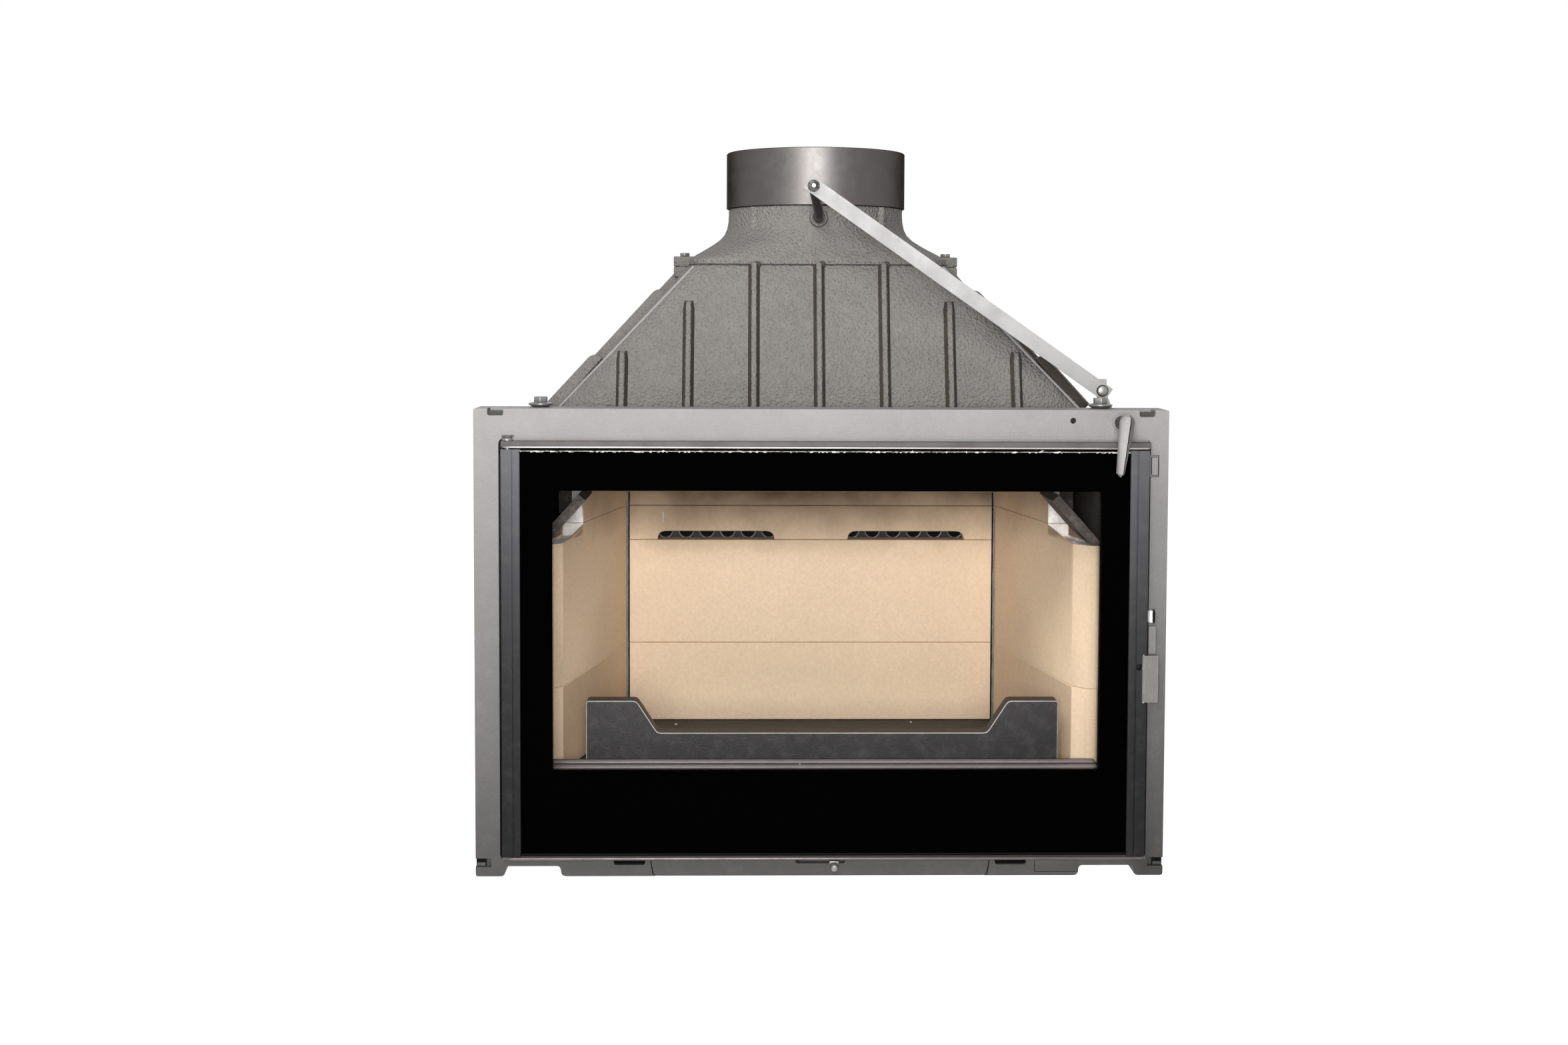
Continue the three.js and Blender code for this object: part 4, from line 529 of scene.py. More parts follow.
# a cast rib with draft: place(t) gives a point, an outward and a sideways direction, a height and a share
# of the width. When asked, its flanks take the piece's second material, a darker iron as painted shade.
def castRib(bm, place, foot, crest, steps, shadedFlanks=False):
    before = set(bm.verts)
    left = [(-foot, -0.6), (-foot * 0.86, 0.07), (-crest * 1.5, 0.84), (-crest, 0.98)]
    section = left + [(0, 1.0)] + [(-across, rise) for across, rise in reversed(left)]
    bmesh.ops.create_grid(bm, x_segments=len(section) - 1, y_segments=steps, size=1)
    made = set(bm.verts) - before
    for face in {face for vert in made for face in vert.link_faces}:
        face.material_index = 1 if shadedFlanks and abs(face.calc_center_median().x) > 0.5 else 0
    for vert in made:
        across, rise = section[round((vert.co.x + 1) / 2 * (len(section) - 1))]
        point, out, side, height, share = place((vert.co.y + 1) / 2)
        vert.co = point + side * (across * share) + out * (rise if rise < 0 else rise * height)


def hexHead(bm, centre, axis, flats, height):
    turn = Vector((0, 0, 1)).rotation_difference(Vector(axis)).to_matrix().to_4x4()
    place = Matrix.Translation(centre) @ turn @ Matrix.Translation((0, 0, height / 2))
    radius = flats / math.sqrt(3)
    made = bmesh.ops.create_cone(bm, cap_ends=True, segments=6, radius1=radius, radius2=radius,
                                 depth=height, matrix=place)["verts"]
    roundEdges(bm, made, 0.5)


dressNode("front_frame", frameIron, 1.3, 3)
dressNode("lower_center_panel", frameIron, 0.9, 3)
dressNode("door_stop_pad", frameIron, 0.7, 3)
dressNode("base_casting left_side_casting right_side_casting back_casting top_casting", bodyIron, 1.0)

# floors of the lifting pockets, dark as painted shade, and the shallow raised plate cast on the right tab
liftPocket = ((319.6, 3.8, 468), (336.4, 7.4, 473.8), 0.6, 3)
boxPiece("liftPocketFloors", crumbAndPocketShadeIron, "frame_iron", [liftPocket], boxPair)
boxPiece("tabPlate", frameIron, "frame_iron", [((218.9, -0.22, 4.2), (263.4, 1, 16.2), 0.2)])

# black strips of painted shade: the slanted seams of the centre panel, the floors of the slots and foot
# pockets, and the plate's outline
seam = {"low": 170.1, "lean": 2.45, "half": 0.35, "bottom": 0.5, "top": 16.6}
bm = bmesh.new()
boxPair(bm, (seam["low"] - seam["half"], -0.08, seam["bottom"]),
        (seam["low"] + seam["half"], 0.8, seam["top"]))
for vert in bm.verts:
    lean = seam["lean"] * (vert.co.z - seam["bottom"]) / (seam["top"] - seam["bottom"])
    vert.co.x += math.copysign(lean, vert.co.x)
boxPair(bm, (178.4, 4.0, 11.6), (209.6, 4.8, 17), 0.2)
boxPair(bm, (339.4, 4.0, 9.7), (349.7, 4.9, 18.3), 0.2)
roundedBox(bm, (218.5, -0.3, 3.9), (263.4, 0.5, 4.3))
roundedBox(bm, (218.5, -0.3, 3.9), (218.95, 0.5, 16))
finishPiece(bm, "frameGapShadows", barPaint, "frame_iron")
bm = bmesh.new()
boxPair(bm, (179, -0.15, 10.3), (209, 0.6, 11.1), 0.25)
boxPair(bm, (340, 2.2, 9.8), (348.6, 4.6, 13.6), 0.8, 3)
for vert in bm.verts:
    vert.co += 0.35 * noise.noise_vector(vert.co * 0.6)
finishPiece(bm, "roughPocketEdges", frameIron, "frame_iron", smooth=60)
print("frame and castings done")

airKnob = {"x": 14, "z": 10.5, "radius": 4.1, "neck": 2.0}
bm = bmesh.new()
turned(bm, [(0, 0), (airKnob["neck"], 0), (airKnob["neck"], 2.2), (airKnob["radius"] * 0.86, 2.8),
            (airKnob["radius"], 4.2), (airKnob["radius"] * 0.93, 6.2), (airKnob["radius"] * 0.6, 7.8),
            (0, 8.4)],
       (airKnob["x"], -1.0, airKnob["z"]), (0, -1, 0), 40)
roundedBox(bm, (9, -1.5, 12.9), (19, 8, 15.3), 0.5)
roundedBox(bm, (airKnob["x"] - 2, -1.5, 9), (airKnob["x"] + 2, 1.2, 14), 0.4)
roundedBox(bm, (-21, 7, 12.9), (49, 26, 15.3), 0.4)
finishPiece(bm, "airControl", boltSteel, "door_steel", "air_control_slide", "air_control")

# half width, half depth and corner radius at the foot and at the top
lowerHood = {"low": 470, "high": 623.7, "base": (280, 155, 14), "top": (138, 110, 20), "wall": (9.8, 9)}
hoodRise = lowerHood["high"] - lowerHood["low"]


def hoodHalves(height):
    share = (height - lowerHood["low"]) / hoodRise
    return [a + share * (b - a) for a, b in zip(lowerHood["base"], lowerHood["top"])]


bm = bmesh.new()
outer = []
for height in (470, 471.5, 500, 540, 580, 610, 622.2, 623.7):
    halfWidth, halfDepth, radius = hoodHalves(height)
    ease = 1.0 if height in (470, 623.7) else 0.0
    outer.append((height, halfWidth - ease, halfDepth - ease, radius))
inner = [(z, w - lowerHood["wall"][0], d - lowerHood["wall"][1], r * 0.7) for z, w, d, r in reversed(outer)]
skinLoops(bm, outer + inner)
# half widths at foot and crest, height, spacing, and the length over which the upper end runs out
frontRib = {"foot": 6.6, "crest": 1.9, "height": 7.8, "pitch": 69, "runOut": 9,
            "ends": [640, 640, 585, 532]}
sideRib = {"foot": 5.0, "crest": 2.2, "height": 10.5, "pitch": 65, "runOut": 8, "ends": [640, 595, 525]}


def addHoodRib(step, onSide, sign):
    rib = sideRib if onSide else frontRib
    end = rib["ends"][abs(step)]
    reach = min(end, lowerHood["high"] - 0.4) - lowerHood["low"] - 0.3
    facing = 0 if onSide else 1
    slope = (lowerHood["base"][facing] - lowerHood["top"][facing]) / hoodRise

    def place(along):
        height = lowerHood["low"] + 0.3 + along ** 0.7 * reach
        half = sign * hoodHalves(height)[facing]
        offset = step * rib["pitch"]
        if onSide:
            point, out, side = (half, flueDepth + offset, height), (sign, 0, slope), (0, 1, 0)
        else:
            point, out, side = (offset, flueDepth + half, height), (0, sign, slope), (1, 0, 0)
        left = min(1.0, max(0.0, (end - height) / rib["runOut"]))
        tall = rib["height"] * math.sqrt(1 - (1 - left) ** 2)
        share = 1.0 if onSide else 0.8 + 0.2 * left
        return Vector(point), Vector(out).normalized(), Vector(side), tall, share

    # painted shade on the flanks of all front ribs and of the side ribs on the right
    castRib(bm, place, rib["foot"], rib["crest"], 40, shadedFlanks=not onSide or sign > 0)


for onSide, last in ((False, 3), (True, 2)):
    for step in range(-last, last + 1):
        for sign in (-1, 1):
            addHoodRib(step, onSide, sign)
lugs = {"reach": 159, "half": 14, "drop": 26}
before = set(bm.verts)
boxPair(bm, (120, flueDepth - lugs["half"], lowerHood["high"] - lugs["drop"]),
        (lugs["reach"], flueDepth + lugs["half"], lowerHood["high"]), 1.5, 3)
for vert in set(bm.verts) - before:  # the underside runs back into the slope
    if vert.co.z < 610 and abs(vert.co.x) > 150:
        vert.co.z += 15
finishPiece(bm, "lowerHoodCast", [hoodIron, ribFlankShade], "hood_iron", "lower_hood", smooth=40)

# a fine ridge down each corner of the casting, in the lighter frame iron as a painted highlight
ridge = {"foot": 1.7, "crest": 0.5, "height": 1.0}


def addCornerRidge(side, end):
    def place(along):
        height = lowerHood["low"] + 2 + along * (hoodRise - 4)
        halfWidth, halfDepth, radius = hoodHalves(height)
        inset = radius * (1 - math.sqrt(0.5))
        point = Vector((side * (halfWidth - inset), flueDepth + end * (halfDepth - inset), height))
        out = Vector((side, end, 0.6)).normalized()
        return point, out, Vector((side, -end, 0)).normalized(), ridge["height"], 1.0

    castRib(bm, place, ridge["foot"], ridge["crest"], 30)


bm = bmesh.new()
for side in (-1, 1):
    for end in (-1, 1):
        addCornerRidge(side, end)
finishPiece(bm, "hoodCornerHighlightRidges", frameIron, "hood_iron", smooth=50)
print("lower hood done")

hoodWall = 7.5
bm = bmesh.new()
outer = [(624, 138, 110, 30), (624.8, 139, 111, 32), (629.6, 139, 111, 33), (631, 138, 110.4, 35),
         (635.5, 131.5, 107.8, 45), (641, 123.3, 105.2, 60), (647, 114.6, 102.6, 72),
         (653, 107.2, 100.8, 84), (659, 102.3, 99.3, 93), (666, 99.4, 98.3, 97), (674, 97.9, 97.7, 97.6),
         (682, 97.5, 97.5, 97.5),
         (687.4, 97.5, 97.5, 97.5), (688, 96.9, 96.9, 96.9)]
inner = [(z, w - hoodWall, d - hoodWall, max(r - hoodWall, 20)) for z, w, d, r in reversed(outer)]
skinLoops(bm, outer + inner, 144)
boxPair(bm, (112, flueDepth - lugs["half"], 624), (lugs["reach"], flueDepth + lugs["half"], 635), 0.9, 3)
neckRib = {"foot": 4.2, "crest": 1.3, "height": 4.4, "low": 650, "high": 687.4}


def addNeckRib(angle):
    out = Vector((math.cos(angle), math.sin(angle), 0))
    side = Vector((-out.y, out.x, 0))

    def place(along):
        height = neckRib["low"] + along * (neckRib["high"] - neckRib["low"])
        tip = min(1.0, along / 0.35)
        radius = 97.5 + 5.2 * max(0.0, (668 - height) / 16) ** 2
        point = Vector((0, flueDepth, height)) + out * radius
        return point, out, side, neckRib["height"] * tip ** 0.7, 0.1 + 0.9 * tip

    castRib(bm, place, neckRib["foot"], neckRib["crest"], 20)


for eighth in (1, 3, 5, 7):
    addNeckRib(eighth * math.pi / 4)
boss = [(5.2, 4.2), (6.5, 4.2), (6.8, 8.4), (7.4, 9.0), (8.5, 8.9), (9.1, 8.0), (9.3, 4), (10.2, -0.5),
        (12, -5)]
turned(bm, boss, (0, 127.5, 674), (0, -1, 0), 56)
turned(bm, [(0, 3.2), (9.4, 3.2), (10.4, 2.4), (11, 0), (14, -4)], (0, 322.5, 674), (0, 1, 0), 48)
finishPiece(bm, "upperHoodCast", hoodIron, "hood_iron", "upper_hood", smooth=38)

# fire cement pressed out of the joint between the two hood castings, with crumbs of it left above
bead = {"low": 623.5, "high": 624.8, "grow": 1.1, "inset": 6}
cementLoops = []
for share, grow in ((0, 0.2), (0.3, 1.0), (0.7, 0.9), (1, 0.1)):
    wide = bead["grow"] * grow
    cementLoops.append((bead["low"] + share * (bead["high"] - bead["low"]), 138.2 + wide, 110.2 + wide, 26))
inner = [(h, w - bead["inset"], d - bead["inset"], 22) for h, w, d, _ in reversed(cementLoops)]
bm = bmesh.new()
skinLoops(bm, cementLoops + inner, 512)
for vert in bm.verts:
    ragged = wobble(vert.co.x * 0.22, vert.co.y * 0.22, 1.7)
    fine = wobble(vert.co.x * 0.8, vert.co.y * 0.8, vert.co.z * 0.5)
    vert.co.z += 0.9 * ragged + 0.5 * fine
    vert.co.y += 0.7 * fine + 0.6 * ragged


def addCrumb(bm, centre, size, subdivisions):
    place = Matrix.Translation(centre) @ Matrix.Diagonal((*size, 1))
    return bmesh.ops.create_icosphere(bm, subdivisions=subdivisions, radius=1, matrix=place)["verts"]


for step in (-1, 0, 1):
    centre = (step * frontRib["pitch"] + 3.6, flueDepth - 111.5, 624.2)
    for vert in addCrumb(bm, centre, (3.6, 3.0, 3.4), 3):
        vert.co += vert.normal * 0.7 * noise.noise(vert.co * 0.5)
finishPiece(bm, "jointCementBead", jointCement, "hood_iron", smooth=60)
bm = bmesh.new()
for index in range(46):
    x = -132 + 264 * ((index * 0.618034) % 1)
    size = 0.35 + 0.6 * abs(wobble(x, 2.3, 0.4))
    centre = (x, flueDepth - 111.0 - 0.3 * size, 625.4 + 2.6 * ((index * 0.754878) % 1))
    addCrumb(bm, centre, (size * 1.5, size, size), 1)
finishPiece(bm, "jointCementCrumbs", crumbAndPocketShadeIron, "hood_iron", smooth=60)

collar = {"outer": 100, "inner": 95, "low": 688.3, "high": 750, "spigot": 89.3}
turnedPiece("flueCollarTurned", collarSteel, "collar_steel", [
    (collar["spigot"] - 4, 681), (collar["spigot"], 681), (collar["spigot"], collar["low"]),
    (collar["outer"] - 0.5, collar["low"]), (collar["outer"], collar["low"] + 0.5),
    (collar["outer"], collar["high"] - 0.8), (collar["outer"] - 0.8, collar["high"]),
    (collar["inner"] + 0.8, collar["high"]), (collar["inner"], collar["high"] - 0.8),
    (collar["inner"], collar["low"] + 5), (collar["spigot"] - 4, collar["low"] + 3),
    (collar["spigot"] - 4, 681)], (0, flueDepth, 0), (0, 0, 1), 144, hides="flue_collar", smooth=30)

cupWasher = [(0, 476.3), (8.4, 476.3), (11.6, 478.2), (12.6, 479.2), (12.5, 480.0), (10.6, 480.7),
             (8.0, 481.1), (0, 481.1)]
for name, sign in (("left", -1), ("right", 1)):
    bm = bmesh.new()
    hexHead(bm, (sign * 147, flueDepth, 635.3), (0, 0, 1), 10.5, 3.9)
    turned(bm, [(0, -27), (3.6, -27), (4, -26.4), (4, 0.5)], (sign * 147, flueDepth, 635.3), (0, 0, 1), 24)
    finishPiece(bm, name + "HoodBolt", boltSteel, "zinc", name + "_lug_bolt")
    bm = bmesh.new()
    hexHead(bm, (sign * 286, 30, 481.0), (0, 0, 1), 13, 5.6)
    turned(bm, cupWasher, (sign * 286, 30, 0), (0, 0, 1), 48)
    turned(bm, [(0, 454), (3.6, 454), (4, 454.6), (4, 478.3)], (sign * 285, 30, 0), (0, 0, 1), 24)
    finishPiece(bm, name + "CornerBolt", boltSteel, "zinc", name + "_corner_bolt")
print("hood and flue done")


dressNode("hearth_plate", graphiteIron, 0.7)
dressNode("fire_grate", graphiteIron, 0.7, dissolve=0)  # a face with holes would tear when merged
dressNode("sill_plate", graphiteIron, 0.5)
# the fender's rounded edges take the light edge iron as a painted highlight
dressNode("log_fender", [graphiteIron, edgeHighlightIron], highlightSlot=1)
ridges = [((-289, middle - 5.2, 102), (289, middle + 5.2, 104.3), 1.4, 3) for middle in (36, 56.3)]
boxPiece("sillRidges", sillIron, "graphite_iron", ridges, smooth=60)
dressNode("ash_pan rear_air_manifold", doorPaint, 0.5)
backWall = "back_brick_lower back_brick_middle back_brick_slotted back_brick_top"
dressNode(backWall, backFireclay, 1.3)
dressNode("left_brick_lower right_brick_lower baffle_plate", fireclay, 1.3)
# the side bricks are broken out behind the deflectors
notch = {"back": (155 + frontPlane) / 1000, "floor": 0.3290, "slack": 0.0008}


def isBroken(face):
    middle = face.calc_center_median()
    front = abs(middle.y - notch["back"]) < notch["slack"] and middle.z > notch["floor"]
    floor = abs(middle.z - notch["floor"]) < notch["slack"] and face.normal.z > 0.9
    return front or floor


cutBricks = "left_brick_notched left_brick_top right_brick_notched right_brick_top"
dressNode(cutBricks, [fireclay, cutAndLitFireclay], 0.6, smooth=40, broken=isBroken)
dressNode("left_smoke_deflector right_smoke_deflector", deflectorIron)
# a dark bracket behind each deflector fills a place of shade: painted shadow
shadowBracket = ((267.5, 149.6, 353), (281.5, 154.4, 383), 0.8)
boxPiece("deflectorShadowBrackets", deflectorIron, "body_iron", [shadowBracket], boxPair)

# mortar in the back corners, a scratch in the slotted brick, and chips left on the hearth
bm = bmesh.new()
boxPair(bm, (217.9, 322.4, 83.5), (222.0, 325.25, 391), 0.9)
bmesh.ops.subdivide_edges(bm, edges=[edge for edge in bm.edges if edge.calc_length() > 100], cuts=90)
for vert in bm.verts:
    vert.co.x += 0.6 * wobble(1.1, 0.4, vert.co.z * 0.07)
finishPiece(bm, "cornerMortar", mortar, "fireclay", smooth=60)
# a black strip of painted shadow in the gap beside each mortar strip
gapShadowBox = ((216.5, 323.6, 83.5), (217.9, 325.3, 391), 0.3)
boxPiece("cornerGapShadows", barPaint, "fireclay", [gapShadowBox], boxPair)
bm = bmesh.new()
roundedBox(bm, (-177.2, 324.9, 322), (-175.9, 325.35, 334), 0.2)
chips = ((-283, 30, 103.4, 1.1), (-160, 300, 83.6, 1.3), (-20, 44, 103.2, 0.8), (120, 310, 83.6, 1.0))
for x, y, z, size in chips:
    addCrumb(bm, (x, y, z), (size * 1.4, size, size), 2)
for vert in bm.verts:
    vert.co += 0.25 * noise.noise_vector(vert.co * 0.9)
finishPiece(bm, "brickChips", ropeWhite, "fireclay", smooth=60)

# rolled rims round the air holes behind the slots
airHole = {"radius": 8.2, "pitch": 25, "first": 50, "count": 6, "z": 309, "y": 350.6}
rim = [(airHole["radius"] + grow, rise) for grow, rise in
       ((-0.2, 0), (0.2, 0.7), (0.9, 0.9), (1.5, 0.1), (-0.2, 0))]
shadow = [(0, 0.06), (airHole["radius"], 0.06), (airHole["radius"], 0.0), (0, 0)]
holes = (("airHoleRims", zinc, rim, 40), ("airHoleShadows", barPaint, shadow, 32))
for name, material, profile, segments in holes:
    bm = bmesh.new()
    for sign in (-1, 1):
        for index in range(airHole["count"]):
            x = sign * (airHole["first"] + index * airHole["pitch"])
            turned(bm, profile, (x, airHole["y"], airHole["z"]), (0, -1, 0), segments)
    finishPiece(bm, name, material, "collar_steel")
print("firebox done")


dressNode("door_left_stile door_right_stile", doorPaint, 0.45)
# the bars behind the glass are black as painted shade
dressNode("door_top_bar door_bottom_bar", barPaint, 0.45)


# a round edge on the front of a hinge rail, whose ends taper back
def railLip(name, finish, depth, height, radius, left=-320.5, right=329.5):
    profile = [(0, left), (radius * 0.5, left + 1.5), (radius, left + 9), (radius, right - 3),
               (radius * 0.6, right - 0.5), (0, right)]
    turnedPiece(name, finish, "door_steel", profile, (0, depth, height), (1, 0, 0), 20, smooth=50)


dressNode("top_hinge_rail bottom_hinge_rail", railSteel, 0.5)
boxPiece("topRailSeat", frameIron, "frame_iron", [((-320.5, 0.15, 443.6), (329.5, 3.4, 446.8), 0.3)])
# the top lip's bright steel is a painted highlight along the rail's lower edge
railLip("topRailLip", railHighlight, -7.0, 437.7, 0.95)
railLip("bottomRailLip", lowEdge, -7.6, 20.3, 1.6)
dressNode("glass_tape", ropeWhite, 0.4)
dressNode("door_seal_rope", ropeWhite)

# the enamelled border is one opaque ring round the clear window, whose upright edges carry strips of dots
bm = bmesh.new()
rings = []
for depth in (window["front"], window["back"]):
    for left, right, low, high in (
            (-308.9, 316.4, 25.4, 433.4), (window["left"], window["right"], window["low"], window["high"])):
        verts = bmesh.ops.create_circle(bm, segments=4, radius=1)["verts"]
        for vert, (x, z) in zip(verts, ((left, low), (right, low), (right, high), (left, high))):
            vert.co = (x, depth, z)
        rings.append(edgesAmong(bm, verts))
for a, b in ((0, 1), (1, 3), (3, 2), (2, 0)):
    bmesh.ops.bridge_loops(bm, edges=rings[a] + rings[b])
finishPiece(bm, "glassBorder", borderEnamel, "ceramic_glass", "door_glass", "door")
low, high = window["low"] + 0.05, window["high"] - 0.05
pane = [((window["left"] + 0.05, window["front"] + 0.3, low),
         (window["right"] - 0.05, window["back"] - 0.3, high))]
boxPiece("glassPane", clearPane, "ceramic_glass", pane, body="door")
strips = []
for side, inward in (("left", 1), ("right", -1)):
    near, far = sorted(window[side] + inward * step for step in (0.05, window[side + "Fade"]))
    strips.append(((near, window["front"], low), (far, window["front"] + 0.1, high)))
boxPiece("glassDots", dottedEnamel, "ceramic_glass", strips, body="door")

# woven tape that frays out above the glass
tape = {"left": -306, "right": 313, "low": 432.9, "high": 435.4, "front": -4.8, "back": -1.6, "step": 2.0}
bm = bmesh.new()
steps = int((tape["right"] - tape["left"]) / tape["step"])
bmesh.ops.create_grid(bm, x_segments=steps, y_segments=3, size=1)
for vert in bm.verts:
    x = tape["left"] + (vert.co.x + 1) / 2 * (tape["right"] - tape["left"])
    rise = (vert.co.y + 1) / 2
    ragged = 0.55 + 0.9 * wobble(x * 0.16, 3.1, rise)
    top = (tape["high"] - tape["low"]) * min(1.0, max(0.25, ragged))
    depth = tape["front"] + 0.5 * wobble(x * 0.4, rise, 7.7)
    vert.co = (x, depth, tape["low"] - 0.3 + rise * (top + 0.3))
thick = bmesh.ops.extrude_face_region(bm, geom=bm.faces[:])["geom"]
bmesh.ops.translate(bm, vec=(0, tape["back"] - tape["front"], 0),
                    verts=[item for item in thick if isinstance(item, bmesh.types.BMVert)])
finishPiece(bm, "tapeFray", ropeWhite, "sealing_rope", body="door", smooth=70)

hingePin = {"x": -315.5, "y": -2, "dome": 5.8, "rise": 3.4, "low": 444.3}
quarter = [step * math.pi / 16 for step in range(8)]
dome = [(hingePin["dome"] * math.cos(a), hingePin["rise"] * math.sin(a)) for a in quarter]
turnedPiece(
    "topHingePin", boltSteel, "door_steel",
    [(3, -30.8), (3, 0), (hingePin["dome"] - 0.2, 0)] + dome + [(0, hingePin["rise"])],
    (hingePin["x"], hingePin["y"], hingePin["low"]), (0, 0, 1), 40, hides="top_hinge_pin")
# a black box in the pin head's slot as painted shade
boxPiece("topHingePinSlot", barPaint, "door_steel", [
    ((hingePin["x"] - 4.2, hingePin["y"] - 0.7, hingePin["low"] + 2.2),
     (hingePin["x"] + 4.2, hingePin["y"] + 0.7, hingePin["low"] + 3.45), 0.2)])
turnedPiece(
    "bottomHingePin", boltSteel, "door_steel",
    [(0, 18.9), (2.6, 18.9), (3, 19.3), (3, 43.4), (2.4, 44), (0, 44)], (hingePin["x"], hingePin["y"], 0),
    (0, 0, 1), 32, hides="bottom_hinge_pin")
print("door done")


latchLever = dressNode("latch_lever", [latchIron, rodSteel], 0.5)
for face in latchLever.data.polygons:  # its left flank is painted dark as shade
    face.material_index = 1 if face.normal.x < -0.9 else 0
dressNode("latch_keeper", latchIron, 0.7, 3)
dressNode("latch_pin", chrome, 0.2)
strike = {"x": 334.1, "y": -1.3, "low": 259.7, "high": 273.7, "radius": 4.1, "round": 2.6}
bm = bmesh.new()
steps = [math.radians(angle) for angle in range(0, 91, 15)]
endCap = [(strike["radius"] * math.sin(a), strike["round"] * (1 - math.cos(a))) for a in steps]
height = strike["high"] - strike["low"]
turned(bm, endCap + [(r, height - h) for r, h in reversed(endCap)],
       (strike["x"], strike["y"], strike["low"]), (0, 0, 1), 40)
for face in bm.faces:  # its right half stands in its own shadow
    face.material_index = 1 if face.calc_center_median().x > strike["x"] + 0.9 else 0
finishPiece(bm, "strikePin", [chrome, barPaint], "chrome", "strike_pin")
boxPiece(
    "doorGapShadow", barPaint, "frame_iron",
    [((329.65, 0.3, 26), (330.9, 1.4, 180), 0.2), ((329.65, 0.3, 227), (331.3, 1.4, 436), 0.2)])


lever = {"x": 300.9, "z": 463.6, "front": -38, "back": -27.6, "top": 7.3, "over": 10.2, "tip": 3.8,
         "length": 48.6, "lean": 5.8}
bm = bmesh.new()
bmesh.ops.create_grid(bm, x_segments=10, y_segments=20, size=1)
axisLine = Vector((-lever["lean"], 0, -lever["length"])).normalized()
acrossLine = Vector((-axisLine.z, 0, axisLine.x))
span = math.hypot(lever["lean"], lever["length"])
# one section, from the back on the left round the front to the back on the right: (across, share of depth)
section = [(-1.0, 0.0), (-1.0, 0.3), (-0.97, 0.5), (-0.82, 0.72), (-0.2, 0.97), (0.2, 1.0), (0.29, 0.9),
           (0.38, 0.9), (0.82, 0.55), (1.0, 0.35), (1.0, 0.0)]
shadeLine = (5, 7)  # between these points of the section lies a black line of painted shade, and beyond them the bevel in a darker iron as painted shade, its last strip black
for face in bm.faces:
    slot = (face.calc_center_median().x + 1) / 2 * (len(section) - 1)
    inShade = shadeLine[0] < slot < shadeLine[1] or slot > 9
    face.material_index = 1 if inShade else 2 if slot > shadeLine[1] else 0
for vert in bm.verts:
    across, share = section[round((vert.co.x + 1) / 2 * (len(section) - 1))]
    along = (vert.co.y + 1) / 2
    place = along * (span + lever["tip"] + lever["over"]) - lever["over"]
    body = min(max(place / span, 0), 1)
    width = lever["top"] + body * (lever["tip"] - lever["top"])
    if place < 0:
        width *= math.sqrt(max(0.0, 1 - (place / lever["over"]) ** 2))
    if place > span:
        width *= math.sqrt(max(0.0, 1 - ((place - span) / lever["tip"]) ** 2))
    fullness = min(1.0, width / (lever["top"] * 0.55)) ** 0.7
    depth = (lever["back"] - lever["front"]) * share * (0.55 + 0.45 * fullness)
    centre = Vector((lever["x"], lever["back"] - depth, lever["z"])) + axisLine * place
    vert.co = centre + acrossLine * (across * width)
bmesh.ops.holes_fill(bm, edges=[edge for edge in bm.edges if edge.is_boundary], sides=200)
bmesh.ops.remove_doubles(bm, verts=bm.verts, dist=0.02)
finishPiece(bm, "controlLever", [leverIron, barPaint, latchIron], "lever_iron", "control_handle",
            "damper_control", smooth=45)
turnedPiece(
    "controlLeverHub", graphiteIron, "lever_iron",
    [(5.1, -27.5), (6.2, -27.5), (6.8, -26), (6.8, -4), (6.2, -3), (5.1, -3), (5.1, -27.5)],
    (lever["x"], 0, lever["z"]), (0, 1, 0), 48, body="damper_control")
dressNode("handle_shaft link_bar", zinc, 0.5)
dressNode("crank_plate", zinc, 0.4)

pivot = {"x": 292.9, "z": 492.9, "radius": 5.4, "front": 50.2}
turnedPiece("linkPivotScrew", boltSteel, "zinc",
            [(0, 0), (pivot["radius"] - 1.6, 0), (pivot["radius"] - 0.5, 0.5), (pivot["radius"], 1.4),
             (pivot["radius"], 3), (3, 3), (3, 10.9), (0, 10.9)], (pivot["x"], pivot["front"], pivot["z"]),
            (0, 1, 0), 48, hides="link_pivot_bolt", body="damper_control")
# a black ring behind the screw head as painted shade in the gap under it
turnedPiece(
    "linkPivotRing", barPaint, "zinc", [(5.2, 52.6), (6.1, 52.7), (6.2, 53.5), (5.2, 53.5), (5.2, 52.6)],
    (pivot["x"], 0, pivot["z"]), (0, 1, 0), 48, body="damper_control")
bm = bmesh.new()
for index in range(6):  # star of small dimples pressed into the screw's head
    angle = index * math.pi / 3
    dimple = (pivot["x"] + 2.3 * math.cos(angle), pivot["front"] - 0.02, pivot["z"] + 2.3 * math.sin(angle))
    bmesh.ops.create_uvsphere(bm, u_segments=12, v_segments=8, radius=0.55,
                              matrix=Matrix.Translation(dimple) @ Matrix.Diagonal((1, 0.25, 1, 1)))
finishPiece(bm, "linkPivotStar", graphiteIron, "zinc", body="damper_control", smooth=60)

